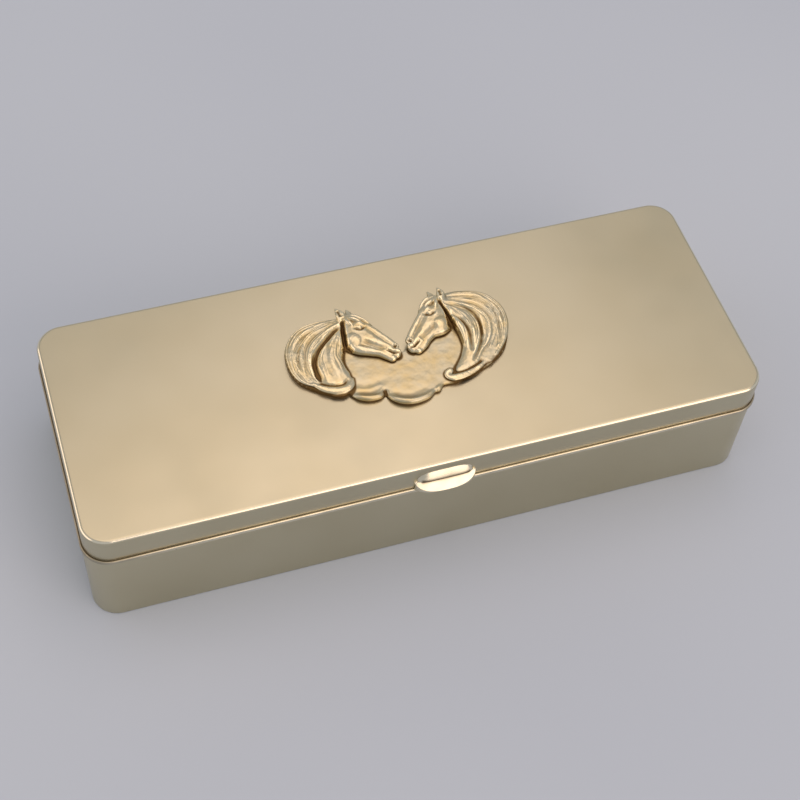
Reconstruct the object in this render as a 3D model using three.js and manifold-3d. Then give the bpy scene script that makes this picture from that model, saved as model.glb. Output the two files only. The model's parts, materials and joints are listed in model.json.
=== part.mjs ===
// Long low metal box with a hinged lid, a thumb lip at the front, a wood lining
// and an applied relief of two horses' heads on the lid.
// Millimetres, +Z up. The origin is the centre of the underside, X runs along the
// long side, the front with its thumb lip faces -Y and the hinge is at the back, +Y.
import * as THREE from 'three';
import { mergeVertices } from 'three/addons/utils/BufferGeometryUtils.js';
import Module from 'manifold-3d';

const wasm = await Module();
wasm.setup();

// Overall sizes, over the metal walls
const LENGTH = 212;
const DEPTH = 80;
const BASE_HEIGHT = 31.8;
const LID_HEIGHT = 9.7;
const CORNER_R = 8;

// Sheet metal
const WALL = 1;
const FLOOR_SHEET = 1.2;
const LID_SHEET = 1.2;
const LID_EDGE_R = 1.2;

// Half-round bead soldered round the outside of the base, just under the seam
const BEAD_HEIGHT = 1.4;
const BEAD_STAND = 0.7;
const BEAD_FLAT = 0.2;

// Wood lining: a bottom board and four side boards that rise into the lid
const LINER_GAP = 0.2;
const LINER_BOTTOM = 2;
const LINER_WALL = 3;
const LINER_RISE = 2.5;

// Hinge of tube knuckles along the back of the seam, with a riveted pin
const HINGE_LENGTH = 112;
const KNUCKLE_COUNT = 7;
const KNUCKLE_GAP = 0.3;
const BARREL_R = 1.9;
const BARREL_CLEAR = 0.3;
const PIN_R = 0.8;
const PIN_CLEAR = 0.3;
const PIN_HEAD_R = 1.5;
const PIN_HEAD_T = 0.5;
const KNUCKLE_FOOT = 3.6;
const FOOT_CLEAR = 0.3;
const BEAD_END_CLEAR = 0.5;

// Thumb lip on the front of the lid: a half-moon lip under a rounded bar. It sits a
// little to the right of the middle, as it does on the photographed box.
const LIP_WIDTH = 19.2;
const LIP_OFFSET = 1;
const LIP_STAND = 3.7;
const LIP_CLEAR = 0.2;
const LIP_EDGE = 0.8;
const LIP_RISE = 2.9;
const BAR_WIDTH = 17.4;
const BAR_HEIGHT = 3.6;
const BAR_STAND = 1.5;
const LIP_BACKING = 0.6;
const BAR_TURN_END = 1.35 * Math.PI;

// Relief on the lid: a shaped ground with two heads on it, held by riveted pegs
const GROUND_T = 1.4;
const NECK_RISE = 1.8;
const HEAD_RISE = 2.8;
const CHEEK_RISE = 3.8;
const PEG_R = 1;
const PEG_CLEAR = 0.2;
const PEG_HEAD_R = 2;
const PEG_HEAD_T = 0.9;
const PEG_PLACES = [[-23, -1], [24, -1], [1, -11]];

// Fineness of the round stretches
const CORNER_STEPS = 7;
const ROUND_STEPS = 24;

// Places worked out from the sizes above
const SEAM_Z = BASE_HEIGHT;
const TOP_Z = BASE_HEIGHT + LID_HEIGHT;
const LID_UNDER_Z = TOP_Z - LID_SHEET;
const HALF_X = LENGTH / 2;
const HALF_Y = DEPTH / 2;
const AXIS_Y = HALF_Y + BARREL_R + BARREL_CLEAR;
const GROUND_TOP_Z = TOP_Z + GROUND_T;

const finish = (color, metalness, roughness) =>
  new THREE.MeshStandardMaterial({ color, metalness, roughness });

const SATIN = finish(0xcbb794, 1, 0.42);
const POLISHED = finish(0xf2ead2, 1, 0.15);
const RELIEF = finish(0xe6d3a6, 1, 0.28);
const CEDAR = finish(0xb07a4d, 0, 0.7);

const model = new THREE.Group();

function addPiece(name, geometry, material) {
  const mesh = new THREE.Mesh(geometry, material);
  mesh.name = name;
  model.add(mesh);
}

// Joining and cutting

function solidOf(geometry) {
  const bare = geometry.clone();
  bare.deleteAttribute('normal');
  bare.deleteAttribute('uv');
  const merged = mergeVertices(bare, 1e-4);
  return new wasm.Manifold(new wasm.Mesh({
    numProp: 3,
    vertProperties: merged.attributes.position.array,
    triVerts: Uint32Array.from(merged.index.array),
  }));
}

function geometryOf(solid) {
  const mesh = solid.getMesh();
  const geometry = new THREE.BufferGeometry();
  geometry.setAttribute('position', new THREE.BufferAttribute(mesh.vertProperties, 3));
  geometry.setIndex(new THREE.BufferAttribute(mesh.triVerts, 1));
  geometry.computeVertexNormals();
  return geometry;
}

const joined = (first, ...others) =>
  geometryOf(others.reduce((sum, next) => sum.add(solidOf(next)), solidOf(first)));

const cut = (body, ...tools) =>
  geometryOf(tools.reduce((rest, tool) => rest.subtract(solidOf(tool)), solidOf(body)));

const shared = (first, ...others) =>
  geometryOf(others.reduce((rest, next) => rest.intersect(solidOf(next)), solidOf(first)));

// Plain shapes

function box(low, high) {
  const size = high.map((value, i) => value - low[i]);
  const middle = high.map((value, i) => (value + low[i]) / 2);
  return new THREE.BoxGeometry(...size).translate(...middle);
}

function roundedRectangle(halfX, halfY, radius, Kind = THREE.Shape) {
  const shape = new Kind();
  const corners = [[1, -1, -90], [1, 1, 0], [-1, 1, 90], [-1, -1, 180]];
  for (const [sideX, sideY, start] of corners) {
    const from = THREE.MathUtils.degToRad(start);
    shape.absarc(sideX * (halfX - radius), sideY * (halfY - radius), radius, from, from + Math.PI / 2);
  }
  shape.closePath();
  return shape;
}

// A rounded rectangle that stands a given distance inside the outer wall faces
const insetOutline = (inset, Kind) =>
  roundedRectangle(HALF_X - inset, HALF_Y - inset, CORNER_R - inset, Kind);

const slab = (shape, lowZ, highZ) =>
  new THREE.ExtrudeGeometry(shape, {
    depth: highZ - lowZ, bevelEnabled: false, curveSegments: CORNER_STEPS,
  }).translate(0, 0, lowZ);

function band(lowZ, highZ) {
  const shape = insetOutline(0);
  shape.holes.push(insetOutline(WALL, THREE.Path));
  return slab(shape, lowZ, highZ);
}

// Turns a shape drawn in Y and Z into a bar along X
function barAlongX(shape, lowX, highX) {
  const yAxis = new THREE.Vector3(0, 1, 0);
  const zAxis = new THREE.Vector3(0, 0, 1);
  const xAxis = new THREE.Vector3(1, 0, 0);
  const turn = new THREE.Matrix4().makeBasis(yAxis, zAxis, xAxis);
  return new THREE.ExtrudeGeometry(shape, {
    depth: highX - lowX, bevelEnabled: false, curveSegments: ROUND_STEPS / 2,
  }).applyMatrix4(turn).translate(lowX, 0, 0);
}

// A round bar along X, on the hinge's axis
const hingeRound = (radius, lowX, highX) =>
  new THREE.CylinderGeometry(radius, radius, highX - lowX, ROUND_STEPS)
    .rotateZ(-Math.PI / 2).translate((lowX + highX) / 2, AXIS_Y, SEAM_Z);

// A smooth closed outline through hand-picked points, in plan
function flowing(points, steps) {
  const loop = new THREE.CatmullRomCurve3(points.map(([x, y]) => new THREE.Vector3(x, y, 0)), true);
  return new THREE.Shape(loop.getPoints(steps).slice(0, -1).map(({ x, y }) => new THREE.Vector2(x, y)));
}

// Base: a bottom sheet, a bent wall standing on it and the bead

const basePlate = () => slab(insetOutline(0), 0, FLOOR_SHEET);

const baseWall = () => band(FLOOR_SHEET, SEAM_Z);

function rimBead() {
  const round = (BEAD_HEIGHT - BEAD_FLAT) / 2;
  const rim = new THREE.ExtrudeGeometry(insetOutline(0), {
    depth: BEAD_FLAT, curveSegments: CORNER_STEPS,
    bevelThickness: round, bevelSize: BEAD_STAND, bevelSegments: 3,
  }).translate(0, 0, SEAM_Z - BEAD_FLAT - round);
  const core = slab(insetOutline(0), 0, TOP_Z);
  const hingeRoom = HINGE_LENGTH / 2 + PIN_HEAD_T + BEAD_END_CLEAR;
  const hingeSpace = box([-hingeRoom, 0, 0], [hingeRoom, DEPTH, TOP_Z]);
  return cut(rim, core, hingeSpace);
}

// Lining: boards mitred at the corners, with outer corners rounded to the wall

const LINER_INSET = WALL + LINER_GAP;
const LINER_LOW_Z = FLOOR_SHEET;
const BOARD_LOW_Z = LINER_LOW_Z + LINER_BOTTOM;
const BOARD_HIGH_Z = SEAM_Z + LINER_RISE;

const linerBottom = () => slab(insetOutline(LINER_INSET), LINER_LOW_Z, BOARD_LOW_Z);

// One board's plan: along X at the front, then turned to its own side
function linerBoard(halfLong, halfAcross, turn) {
  const radius = CORNER_R - LINER_INSET;
  const arcX = halfLong - radius;
  const arcY = -(halfAcross - radius);
  const innerX = halfLong - LINER_WALL;
  const innerY = -(halfAcross - LINER_WALL);
  const shape = new THREE.Shape();
  shape.moveTo(-innerX, innerY);
  shape.absarc(-arcX, arcY, radius, 1.25 * Math.PI, 1.5 * Math.PI);
  shape.absarc(arcX, arcY, radius, 1.5 * Math.PI, 1.75 * Math.PI);
  shape.lineTo(innerX, innerY);
  shape.closePath();
  return slab(shape, BOARD_LOW_Z, BOARD_HIGH_Z).rotateZ(turn);
}

// Lid: a bent band with a top sheet, whose edge is rounded over

const lidBand = () => band(SEAM_Z, LID_UNDER_Z);

function lidPlate() {
  const round = Math.min(LID_EDGE_R, LID_SHEET);
  const body = new THREE.ExtrudeGeometry(insetOutline(0), {
    depth: LID_SHEET, curveSegments: CORNER_STEPS,
    bevelThickness: round, bevelSize: round, bevelOffset: -round, bevelSegments: 4,
  }).translate(0, 0, LID_UNDER_Z - round);
  const below = box([-LENGTH, -DEPTH, 0], [LENGTH, DEPTH, LID_UNDER_Z]);
  const holes = PEG_PLACES.map(([x, y]) =>
    new THREE.CylinderGeometry(PEG_R + PEG_CLEAR, PEG_R + PEG_CLEAR, LID_HEIGHT, ROUND_STEPS)
      .rotateX(Math.PI / 2).translate(x, y, TOP_Z));
  return cut(body, below, ...holes);
}

// The lip's side profile: stand-off from the lid's front face against height
function lipProfile() {
  const lowZ = SEAM_Z + LIP_CLEAR;
  const creaseZ = lowZ + LIP_RISE;
  const barMidZ = creaseZ + BAR_HEIGHT / 2 + LIP_BACKING;
  const front = -HALF_Y;
  const shape = new THREE.Shape();
  shape.moveTo(front, lowZ);
  shape.lineTo(front, barMidZ + BAR_HEIGHT / 2);
  shape.absellipse(front, barMidZ, BAR_STAND, BAR_HEIGHT / 2, Math.PI / 2, BAR_TURN_END);
  shape.lineTo(front - LIP_BACKING, creaseZ);
  shape.quadraticCurveTo(front - LIP_BACKING, lowZ + LIP_EDGE, front - LIP_STAND, lowZ + LIP_EDGE);
  shape.lineTo(front - LIP_STAND, lowZ);
  shape.closePath();
  return shape;
}

function thumbLip() {
  const lipLeft = LIP_OFFSET - LIP_WIDTH / 2;
  const lipRight = LIP_OFFSET + LIP_WIDTH / 2;
  const bar = barAlongX(lipProfile(), lipLeft, lipRight);
  const creaseZ = SEAM_Z + LIP_CLEAR + LIP_RISE;
  const halfMoon = new THREE.Shape();
  halfMoon.absellipse(LIP_OFFSET, -HALF_Y, LIP_WIDTH / 2, LIP_STAND, Math.PI, 2 * Math.PI);
  halfMoon.lineTo(lipRight, WALL - HALF_Y);
  halfMoon.lineTo(lipLeft, WALL - HALF_Y);
  halfMoon.closePath();
  const lower = new THREE.ExtrudeGeometry(halfMoon, {
    depth: creaseZ, bevelEnabled: false, curveSegments: ROUND_STEPS,
  });
  const barLeft = LIP_OFFSET - BAR_WIDTH / 2;
  const barRight = LIP_OFFSET + BAR_WIDTH / 2;
  const upper = box([barLeft, -DEPTH, creaseZ], [barRight, 0, TOP_Z]);
  return shared(bar, joined(lower, upper));
}

// Hinge

const KNUCKLE_PITCH = (HINGE_LENGTH + KNUCKLE_GAP) / KNUCKLE_COUNT;

// side is -1 for a knuckle on the base, with its foot below the seam, and 1 for the lid
function knuckle(index, side) {
  const lowX = -HINGE_LENGTH / 2 + index * KNUCKLE_PITCH;
  const highX = lowX + KNUCKLE_PITCH - KNUCKLE_GAP;
  const foot = new THREE.Shape([
    new THREE.Vector2(HALF_Y, SEAM_Z + side * FOOT_CLEAR),
    new THREE.Vector2(AXIS_Y, SEAM_Z + side * FOOT_CLEAR),
    new THREE.Vector2(AXIS_Y, SEAM_Z + side * BARREL_R),
    new THREE.Vector2(HALF_Y, SEAM_Z + side * KNUCKLE_FOOT),
  ]);
  const tube = joined(hingeRound(BARREL_R, lowX, highX), barAlongX(foot, lowX, highX));
  return cut(tube, hingeRound(PIN_R + PIN_CLEAR, lowX - 1, highX + 1));
}

function hingePin() {
  const end = HINGE_LENGTH / 2;
  return joined(
    hingeRound(PIN_R, -end, end),
    hingeRound(PIN_HEAD_R, -end - PIN_HEAD_T, -end),
    hingeRound(PIN_HEAD_R, end, end + PIN_HEAD_T),
  );
}

// Relief of two horses' heads, nose to nose, with their manes streaming outwards

const GROUND_OUTLINE = [
  [0, -17.6], [-4.5, -15.8], [-8, -12.6], [-14, -12], [-18.6, -8.4], [-23.5, -7.6], [-29, -4.8],
  [-33.6, -0.6], [-34.8, 5], [-34, 11.6], [-30.4, 15.8], [-24, 17.4], [-16.4, 16.6], [-8.6, 11.2],
  [-3.4, 4.6], [0.8, 1.6], [4.6, 5.4], [9.8, 12], [13.6, 17.6], [20, 19.2], [29, 17], [34.4, 12],
  [36, 6.4], [34.6, 0], [31, -6.6], [24, -9.8], [16.4, -12.4], [11, -12.6], [6, -15],
];
const LEFT_NECK = [
  [-14.6, 15.6], [-16.6, 7.6], [-18, 1], [-16, -4.6], [-9, -7.4], [-9, -10.6], [-14, -11.2],
  [-18.6, -7.8], [-23.5, -7], [-28.6, -4.2], [-33, -0.4], [-34, 5], [-33.2, 11.2], [-29.8, 15.2],
  [-24, 16.8], [-18, 16.6],
];
const LEFT_HEAD = [
  [-13.2, 19.4], [-10.8, 16.2], [-8.8, 13.4], [-5.2, 9.4], [-1.8, 5.2], [0, 1.8], [-0.8, -0.8],
  [-3.8, -2], [-5.8, 0], [-8.6, 2.6], [-13.4, 4.2], [-16.4, 7.4], [-17, 13],
];
const RIGHT_NECK = [
  [17.6, 18.4], [18.4, 8.6], [19.4, 1], [17.4, -5], [12.6, -8.2], [11.6, -11.6], [16.4, -11.6],
  [24, -9], [30.4, -6], [33.8, 0.2], [35.2, 6.4], [33.6, 11.6], [28.6, 16.2], [22, 18.6],
];
const RIGHT_HEAD = [
  [14, 20.2], [11.2, 17.6], [9.2, 14], [6, 9.4], [3, 5.8], [2, 2.8], [3.4, -0.4], [6.2, -1.2],
  [9.6, 1.6], [13.2, 3.8], [16.8, 4.8], [18.2, 8.6], [17.8, 14], [17.2, 19],
];
const LEFT_CHEEK = { x: -12.2, y: 9.6, across: 4.2, along: 5 };
const RIGHT_CHEEK = { x: 13.6, y: 9.6, across: 4, along: 5 };
const OUTLINE_STEPS = 56;

const emblemGround = () => slab(flowing(GROUND_OUTLINE, 2 * OUTLINE_STEPS), TOP_Z, GROUND_TOP_Z);

function horse(neckOutline, headOutline, cheek) {
  const neck = slab(flowing(neckOutline, OUTLINE_STEPS), GROUND_TOP_Z, GROUND_TOP_Z + NECK_RISE);
  const head = slab(flowing(headOutline, OUTLINE_STEPS), GROUND_TOP_Z, GROUND_TOP_Z + HEAD_RISE);
  const jowl = new THREE.SphereGeometry(1, ROUND_STEPS, ROUND_STEPS / 2)
    .scale(cheek.across, cheek.along, CHEEK_RISE).translate(cheek.x, cheek.y, GROUND_TOP_Z);
  const above = box([-HALF_X, -HALF_Y, GROUND_TOP_Z], [HALF_X, HALF_Y, GROUND_TOP_Z + 2 * CHEEK_RISE]);
  return shared(joined(neck, head, jowl), above);
}

// A peg through the lid, with a domed head on the inside
function emblemPeg([x, y]) {
  const profile = [new THREE.Vector2(0, TOP_Z), new THREE.Vector2(PEG_R, TOP_Z)];
  profile.push(new THREE.Vector2(PEG_R, LID_UNDER_Z));
  const domeSteps = 4;
  for (let i = 0; i <= domeSteps; i += 1) {
    const angle = (i / domeSteps) * (Math.PI / 2);
    const radius = i === domeSteps ? 0 : PEG_HEAD_R * Math.cos(angle);
    profile.push(new THREE.Vector2(radius, LID_UNDER_Z - PEG_HEAD_T * Math.sin(angle)));
  }
  return new THREE.LatheGeometry(profile.reverse(), ROUND_STEPS).rotateX(Math.PI / 2).translate(x, y, 0);
}

addPiece('base_plate', basePlate(), SATIN);
addPiece('base_wall', baseWall(), SATIN);
addPiece('rim_bead', rimBead(), POLISHED);

const linerHalfX = HALF_X - LINER_INSET;
const linerHalfY = HALF_Y - LINER_INSET;
addPiece('liner_bottom', linerBottom(), CEDAR);
addPiece('liner_front', linerBoard(linerHalfX, linerHalfY, 0), CEDAR);
addPiece('liner_right', linerBoard(linerHalfY, linerHalfX, Math.PI / 2), CEDAR);
addPiece('liner_back', linerBoard(linerHalfX, linerHalfY, Math.PI), CEDAR);
addPiece('liner_left', linerBoard(linerHalfY, linerHalfX, -Math.PI / 2), CEDAR);

addPiece('lid_plate', lidPlate(), SATIN);
addPiece('lid_band', lidBand(), SATIN);
addPiece('thumb_lip', thumbLip(), POLISHED);

for (let index = 0; index < KNUCKLE_COUNT; index += 1) {
  const onLid = index % 2 === 1;
  const name = `${onLid ? 'lid' : 'base'}_knuckle_${Math.floor(index / 2) + 1}`;
  addPiece(name, knuckle(index, onLid ? 1 : -1), SATIN);
}
addPiece('hinge_pin', hingePin(), POLISHED);

addPiece('emblem_ground', emblemGround(), RELIEF);
addPiece('left_horse', horse(LEFT_NECK, LEFT_HEAD, LEFT_CHEEK), RELIEF);
addPiece('right_horse', horse(RIGHT_NECK, RIGHT_HEAD, RIGHT_CHEEK), RELIEF);
PEG_PLACES.forEach((place, i) => addPiece(`emblem_peg_${i + 1}`, emblemPeg(place), POLISHED));

export default model;
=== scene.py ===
"""A long low metal table box: hinged lid, thumb lip, wood lining and a cast relief of two horses' heads.

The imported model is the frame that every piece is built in. Metres, +Z up, front towards -Y.
"""

import json
import random
from math import cos, pi, radians, sin, sqrt, tau

import bmesh
import bpy
import numpy as np
from bpy.props import FloatProperty, FloatVectorProperty, IntProperty, PointerProperty
from mathutils import Matrix, Vector
from mathutils import noise as solid_noise


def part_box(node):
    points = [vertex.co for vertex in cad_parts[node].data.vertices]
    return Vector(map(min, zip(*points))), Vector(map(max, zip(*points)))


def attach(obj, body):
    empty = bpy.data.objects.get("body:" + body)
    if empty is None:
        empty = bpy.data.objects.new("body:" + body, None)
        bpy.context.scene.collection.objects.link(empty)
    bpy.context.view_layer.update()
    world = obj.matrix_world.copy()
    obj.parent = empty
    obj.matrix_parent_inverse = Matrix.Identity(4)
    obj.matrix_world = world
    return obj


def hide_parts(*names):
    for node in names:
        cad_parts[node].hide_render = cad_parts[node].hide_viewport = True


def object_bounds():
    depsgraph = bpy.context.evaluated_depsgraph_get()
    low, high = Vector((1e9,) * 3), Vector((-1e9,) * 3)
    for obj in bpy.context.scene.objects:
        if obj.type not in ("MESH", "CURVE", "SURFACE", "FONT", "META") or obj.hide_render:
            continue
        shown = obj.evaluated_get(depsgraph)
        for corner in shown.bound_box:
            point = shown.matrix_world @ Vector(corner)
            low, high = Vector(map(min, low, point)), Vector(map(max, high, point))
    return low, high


bl_info = {
    "name": "Hinged table box",
    "version": (1, 0, 0),
    "blender": (4, 5, 0),
    "location": "3D View > Sidebar > Table box",
    "description": "Builds the pieces of a metal table box with a relief of two horses' heads on its lid",
    "category": "Object",
}

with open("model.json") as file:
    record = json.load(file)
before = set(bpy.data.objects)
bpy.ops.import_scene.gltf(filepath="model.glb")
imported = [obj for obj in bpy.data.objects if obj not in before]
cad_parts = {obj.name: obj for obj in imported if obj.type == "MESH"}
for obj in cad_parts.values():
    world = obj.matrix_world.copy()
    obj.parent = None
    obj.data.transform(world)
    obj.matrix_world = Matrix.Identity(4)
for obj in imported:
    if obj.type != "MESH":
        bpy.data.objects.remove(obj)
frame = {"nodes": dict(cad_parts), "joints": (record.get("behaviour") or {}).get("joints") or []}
CAD_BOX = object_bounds()
MM = 0.001
# Places this close, in metres, count as the same; cuts and clean-up merge points this close
SAME = 1e-6
MERGED = 1e-7
# The attribute that says where oxide stays, where shade is painted dark and where high points are painted
# lighter
SUNK = "sunk"

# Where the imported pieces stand

WALL_LOW, WALL_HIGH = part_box("base_wall")
PLATE_LOW, PLATE_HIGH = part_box("base_plate")
LID_LOW, LID_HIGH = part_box("lid_plate")
BAND_LOW, BAND_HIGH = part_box("lid_band")
BEAD_LOW, BEAD_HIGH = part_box("rim_bead")
LIP_LOW, LIP_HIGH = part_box("thumb_lip")
PIN_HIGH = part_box("hinge_pin")[1]
GROUND_LOW, GROUND_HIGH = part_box("emblem_ground")
LINER_LOW, LINER_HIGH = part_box("liner_bottom")
BOARD_LOW, BOARD_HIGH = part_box("liner_front")

HALF_X = WALL_HIGH.x
HALF_Y = WALL_HIGH.y
LID_TOP = LID_HIGH.z
HINGE = Vector(frame["joints"][0]["pos_m"])
# How far the lining's outer faces stand inside the wall's outer face
LINING_INSET = HALF_X - LINER_HIGH.x


# Colours and nodes


def linear(hex_colour):
    """A linear colour from an sRGB hex value."""
    parts = [int(hex_colour[i : i + 2], 16) / 255 for i in (1, 3, 5)]
    return tuple(p / 12.92 if p <= 0.04045 else ((p + 0.055) / 1.055) ** 2.4 for p in parts)


def add_node(tree, kind, values=None, links=None, **settings):
    """Adds a node with its own settings, its sockets' values and the sockets that feed it."""
    made = tree.nodes.new(kind)
    for name, value in settings.items():
        setattr(made, name, value)
    for name, value in (values or {}).items():
        made.inputs[name].default_value = value
    for name, source in (links or {}).items():
        tree.links.new(source, made.inputs[name])
    return made


def new_material(name, values=None):
    """A material, its node tree, its shader with those plain values and the Object coordinates."""
    material = bpy.data.materials.new(name)
    material.use_nodes = True
    tree = material.node_tree
    tree.nodes.clear()
    shader = add_node(tree, "ShaderNodeBsdfPrincipled", values)
    add_node(tree, "ShaderNodeOutputMaterial", links={"Surface": shader.outputs["BSDF"]})
    place = add_node(tree, "ShaderNodeTexCoord").outputs["Object"]
    return material, tree, shader, place


def noise(tree, place, size_mm, detail=3.0, stretch=(1.0, 1.0, 1.0)):
    """Noise whose lumps are about size_mm across, drawn out where stretch is below 1."""
    spread = add_node(tree, "ShaderNodeMapping", {"Scale": stretch}, {"Vector": place})
    values = {"Scale": 1 / (size_mm * MM), "Detail": detail}
    return add_node(tree, "ShaderNodeTexNoise", values, {"Vector": spread.outputs["Vector"]}).outputs["Fac"]


def ranged(tree, value, low=0.0, high=1.0, from_low=0.3, from_high=0.7):
    """A value brought from one range to another, held at its ends."""
    ends = {"From Min": from_low, "From Max": from_high, "To Min": low, "To Max": high}
    return add_node(tree, "ShaderNodeMapRange", ends, {"Value": value}).outputs["Result"]


def arithmetic(tree, operation, *values):
    """Arithmetic on numbers and sockets."""
    made = add_node(tree, "ShaderNodeMath", operation=operation)
    for socket, value in zip(made.inputs, values):
        if isinstance(value, bpy.types.NodeSocket):
            tree.links.new(value, socket)
        else:
            socket.default_value = value
    return made.outputs["Value"]


def blended(tree, share, first, second):
    """One colour turning into another by share; each is a colour or a socket."""
    mix = add_node(tree, "ShaderNodeMix", data_type="RGBA", blend_type="MIX")
    tree.links.new(share, mix.inputs["Factor"])
    for socket, colour in ((mix.inputs[6], first), (mix.inputs[7], second)):
        if isinstance(colour, bpy.types.NodeSocket):
            tree.links.new(colour, socket)
        else:
            socket.default_value = (*colour, 1)
    return mix.outputs[2]


def fed(tree, shader, links):
    """Feeds the shader's sockets."""
    for name, source in links.items():
        tree.links.new(source, shader.inputs[name])


def sunken(tree):
    """The mesh's own mark: 0 is a high point, 0.5 is open ground and 1 is the bottom of a crease."""
    return add_node(tree, "ShaderNodeAttribute", attribute_name=SUNK).outputs["Fac"]


def bumped(tree, shader, height, depth_mm, strength):
    """Puts a height pattern on the shader as bump."""
    values = {"Distance": depth_mm * MM, "Strength": strength}
    bump = add_node(tree, "ShaderNodeBump", values, {"Height": height})
    fed(tree, shader, {"Normal": bump.outputs["Normal"]})


# Finishes

METAL = {"Metallic": 1.0}


def satin_plated_brass():
    """Brass sheet, plated and rubbed to a satin with fine abrasive, then handled for years."""
    finish = bpy.context.scene.box_finish
    material, tree, shader, place = new_material("satin_plated_brass", METAL)
    # Soft cloudy change of tone, as a hand-rubbed plating has
    cloud = noise(tree, place, size_mm=42, detail=2.0)
    plain = blended(tree, ranged(tree, cloud), finish.satin, finish.satin_deep)
    # The lid's rounded edge is painted paler as a highlight, a thin white line, and is made smoother there
    highlight_band = edge_highlight_band(tree, place)
    base = blended(tree, highlight_band, plain, finish.polished)
    # The rubbing is finer than this in life; it is drawn at half a millimetre so that it shows
    grain = noise(tree, place, size_mm=0.5, detail=2.0)
    # How much the grain and the smudges change the roughness
    by_grain, by_smudge = 0.04, 0.03
    smudge = noise(tree, place, size_mm=16, detail=4.0)
    level = ranged(tree, smudge, finish.satin_roughness - by_smudge, finish.satin_roughness + by_smudge)
    grainy = arithmetic(tree, "MULTIPLY_ADD", grain, by_grain, level)
    smoother = arithmetic(tree, "MULTIPLY", highlight_band, finish.edge_shine)
    fed(tree, shader, {"Base Color": base, "Roughness": arithmetic(tree, "SUBTRACT", grainy, smoother)})
    bumped(tree, shader, grain, depth_mm=0.004, strength=0.5)
    return material


def edge_highlight_band(tree, place):
    """How much of a place lies in the band of the lid's rounded edge that is painted paler as a highlight,
    read from its height.
    """
    height = add_node(tree, "ShaderNodeSeparateXYZ", links={"Vector": place}).outputs["Z"]
    rounding = bpy.context.scene.box_shell.lid_round
    # Where the painted highlight starts, is full, fades and ends, in shares of the rounding under the lid's
    # top
    shares = (0.56, 0.42, 0.16, 0.06)
    starts, full, fades, ends = (LID_TOP - share * rounding for share in shares)
    over_wall = ranged(tree, height, from_low=starts, from_high=full)
    under_top = ranged(tree, height, low=1.0, high=0.0, from_low=fades, from_high=ends)
    return arithmetic(tree, "MULTIPLY", over_wall, under_top)


def polished_plated_brass():
    """The same plating left bright: it mirrors the lamps as thin white lines."""
    finish = bpy.context.scene.box_finish
    material, tree, shader, place = new_material("polished_plated_brass", METAL)
    cloud = noise(tree, place, size_mm=6, detail=2.0)
    plain = blended(tree, ranged(tree, cloud, high=0.6), finish.polished, finish.satin)
    # Painted shade darkens the thumb lip's crease, the bead's ledge under the seam and the bead's ends
    sunk = sunken(tree)
    painted_shade = ranged(tree, sunk, high=0.95, from_low=0.2)
    base = blended(tree, painted_shade, plain, finish.painted_crease_shade)
    clean = ranged(tree, cloud, low=0.16, high=0.24)
    shaded_roughness = 0.3
    rough = arithmetic(tree, "MULTIPLY_ADD", sunk, shaded_roughness, clean)
    fed(tree, shader, {"Base Color": base, "Roughness": rough})
    return material


def cast_relief_brass():
    """Cast brass: rubbed bright on its high points, which are also painted lighter as highlights, with dark
    oxide left in its hollows and painted shade where it meets what it lies on.
    """
    finish = bpy.context.scene.box_finish
    material, tree, shader, place = new_material("cast_relief_brass", METAL)
    sunk = sunken(tree)
    cloud = noise(tree, place, size_mm=5)
    plain = blended(tree, ranged(tree, cloud), finish.relief, finish.satin)
    # High points are painted lighter: rubbed metal, and painted highlight
    high = ranged(tree, sunk, low=1.0, high=0.0, from_low=0.2, from_high=0.48)
    # Hollows take the oxide colour; the casting's foot and the ground round the heads take it as painted
    # shade
    deep = ranged(tree, sunk, from_low=0.57, from_high=0.88)
    base = blended(tree, deep, blended(tree, high, plain, finish.relief_rubbed_highlight), finish.relief_deep)
    oxide_dullness, rubbed_shine = 0.25, 0.14
    dull = arithmetic(tree, "MULTIPLY_ADD", deep, oxide_dullness, finish.relief_roughness)
    rough = arithmetic(tree, "MULTIPLY_ADD", high, -rubbed_shine, dull)
    fed(tree, shader, {"Base Color": base, "Roughness": rough})
    # Sand-cast grain
    bumped(tree, shader, noise(tree, place, size_mm=0.4), depth_mm=0.02, strength=0.4)
    return material


def along_board(share, turned):
    """A stretch that draws a pattern out along a board."""
    return (1.0, share, 1.0) if turned else (share, 1.0, 1.0)


def planed_cedar(name, turned):
    """Planed cedar boards: straight reddish grain with fine dark fibres along the board."""
    finish = bpy.context.scene.box_finish
    material, tree, shader, place = new_material(name)
    band = noise(tree, place, size_mm=5, stretch=along_board(0.07, turned))
    fibre = noise(tree, place, size_mm=0.45, stretch=along_board(0.03, turned))
    warm = blended(tree, ranged(tree, band), finish.cedar_pale, finish.cedar_deep)
    base = blended(tree, ranged(tree, fibre, high=0.55), warm, finish.cedar_fibre)
    fed(tree, shader, {"Base Color": base, "Roughness": ranged(tree, fibre, low=0.5, high=0.68)})
    bumped(tree, shader, fibre, depth_mm=0.06, strength=0.6)
    return material


def backdrop_paper():
    """Matt pale paper under the box."""
    stage = bpy.context.scene.box_stage
    matt = {"Roughness": 0.9, "Specular IOR Level": 0.1}
    material, tree, shader, place = new_material("backdrop_paper", matt)
    tone = ranged(tree, noise(tree, place, size_mm=240, detail=1.0))
    near = blended(tree, tone, stage.paper, stage.paper_shade)
    # Paler far from the lamps, in metres from the box, so that it looks the same all the way out
    reach = add_node(tree, "ShaderNodeVectorMath", {0: (0, 0, 0)}, {1: place}, operation="DISTANCE")
    far = ranged(tree, reach.outputs["Value"], from_low=0.5, from_high=2.0)
    fed(tree, shader, {"Base Color": blended(tree, far, near, stage.paper_far)})
    return material


def the_material(name, make, *details):
    """The named material, made the first time it is asked for."""
    return bpy.data.materials.get(name) or make(*details)


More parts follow.
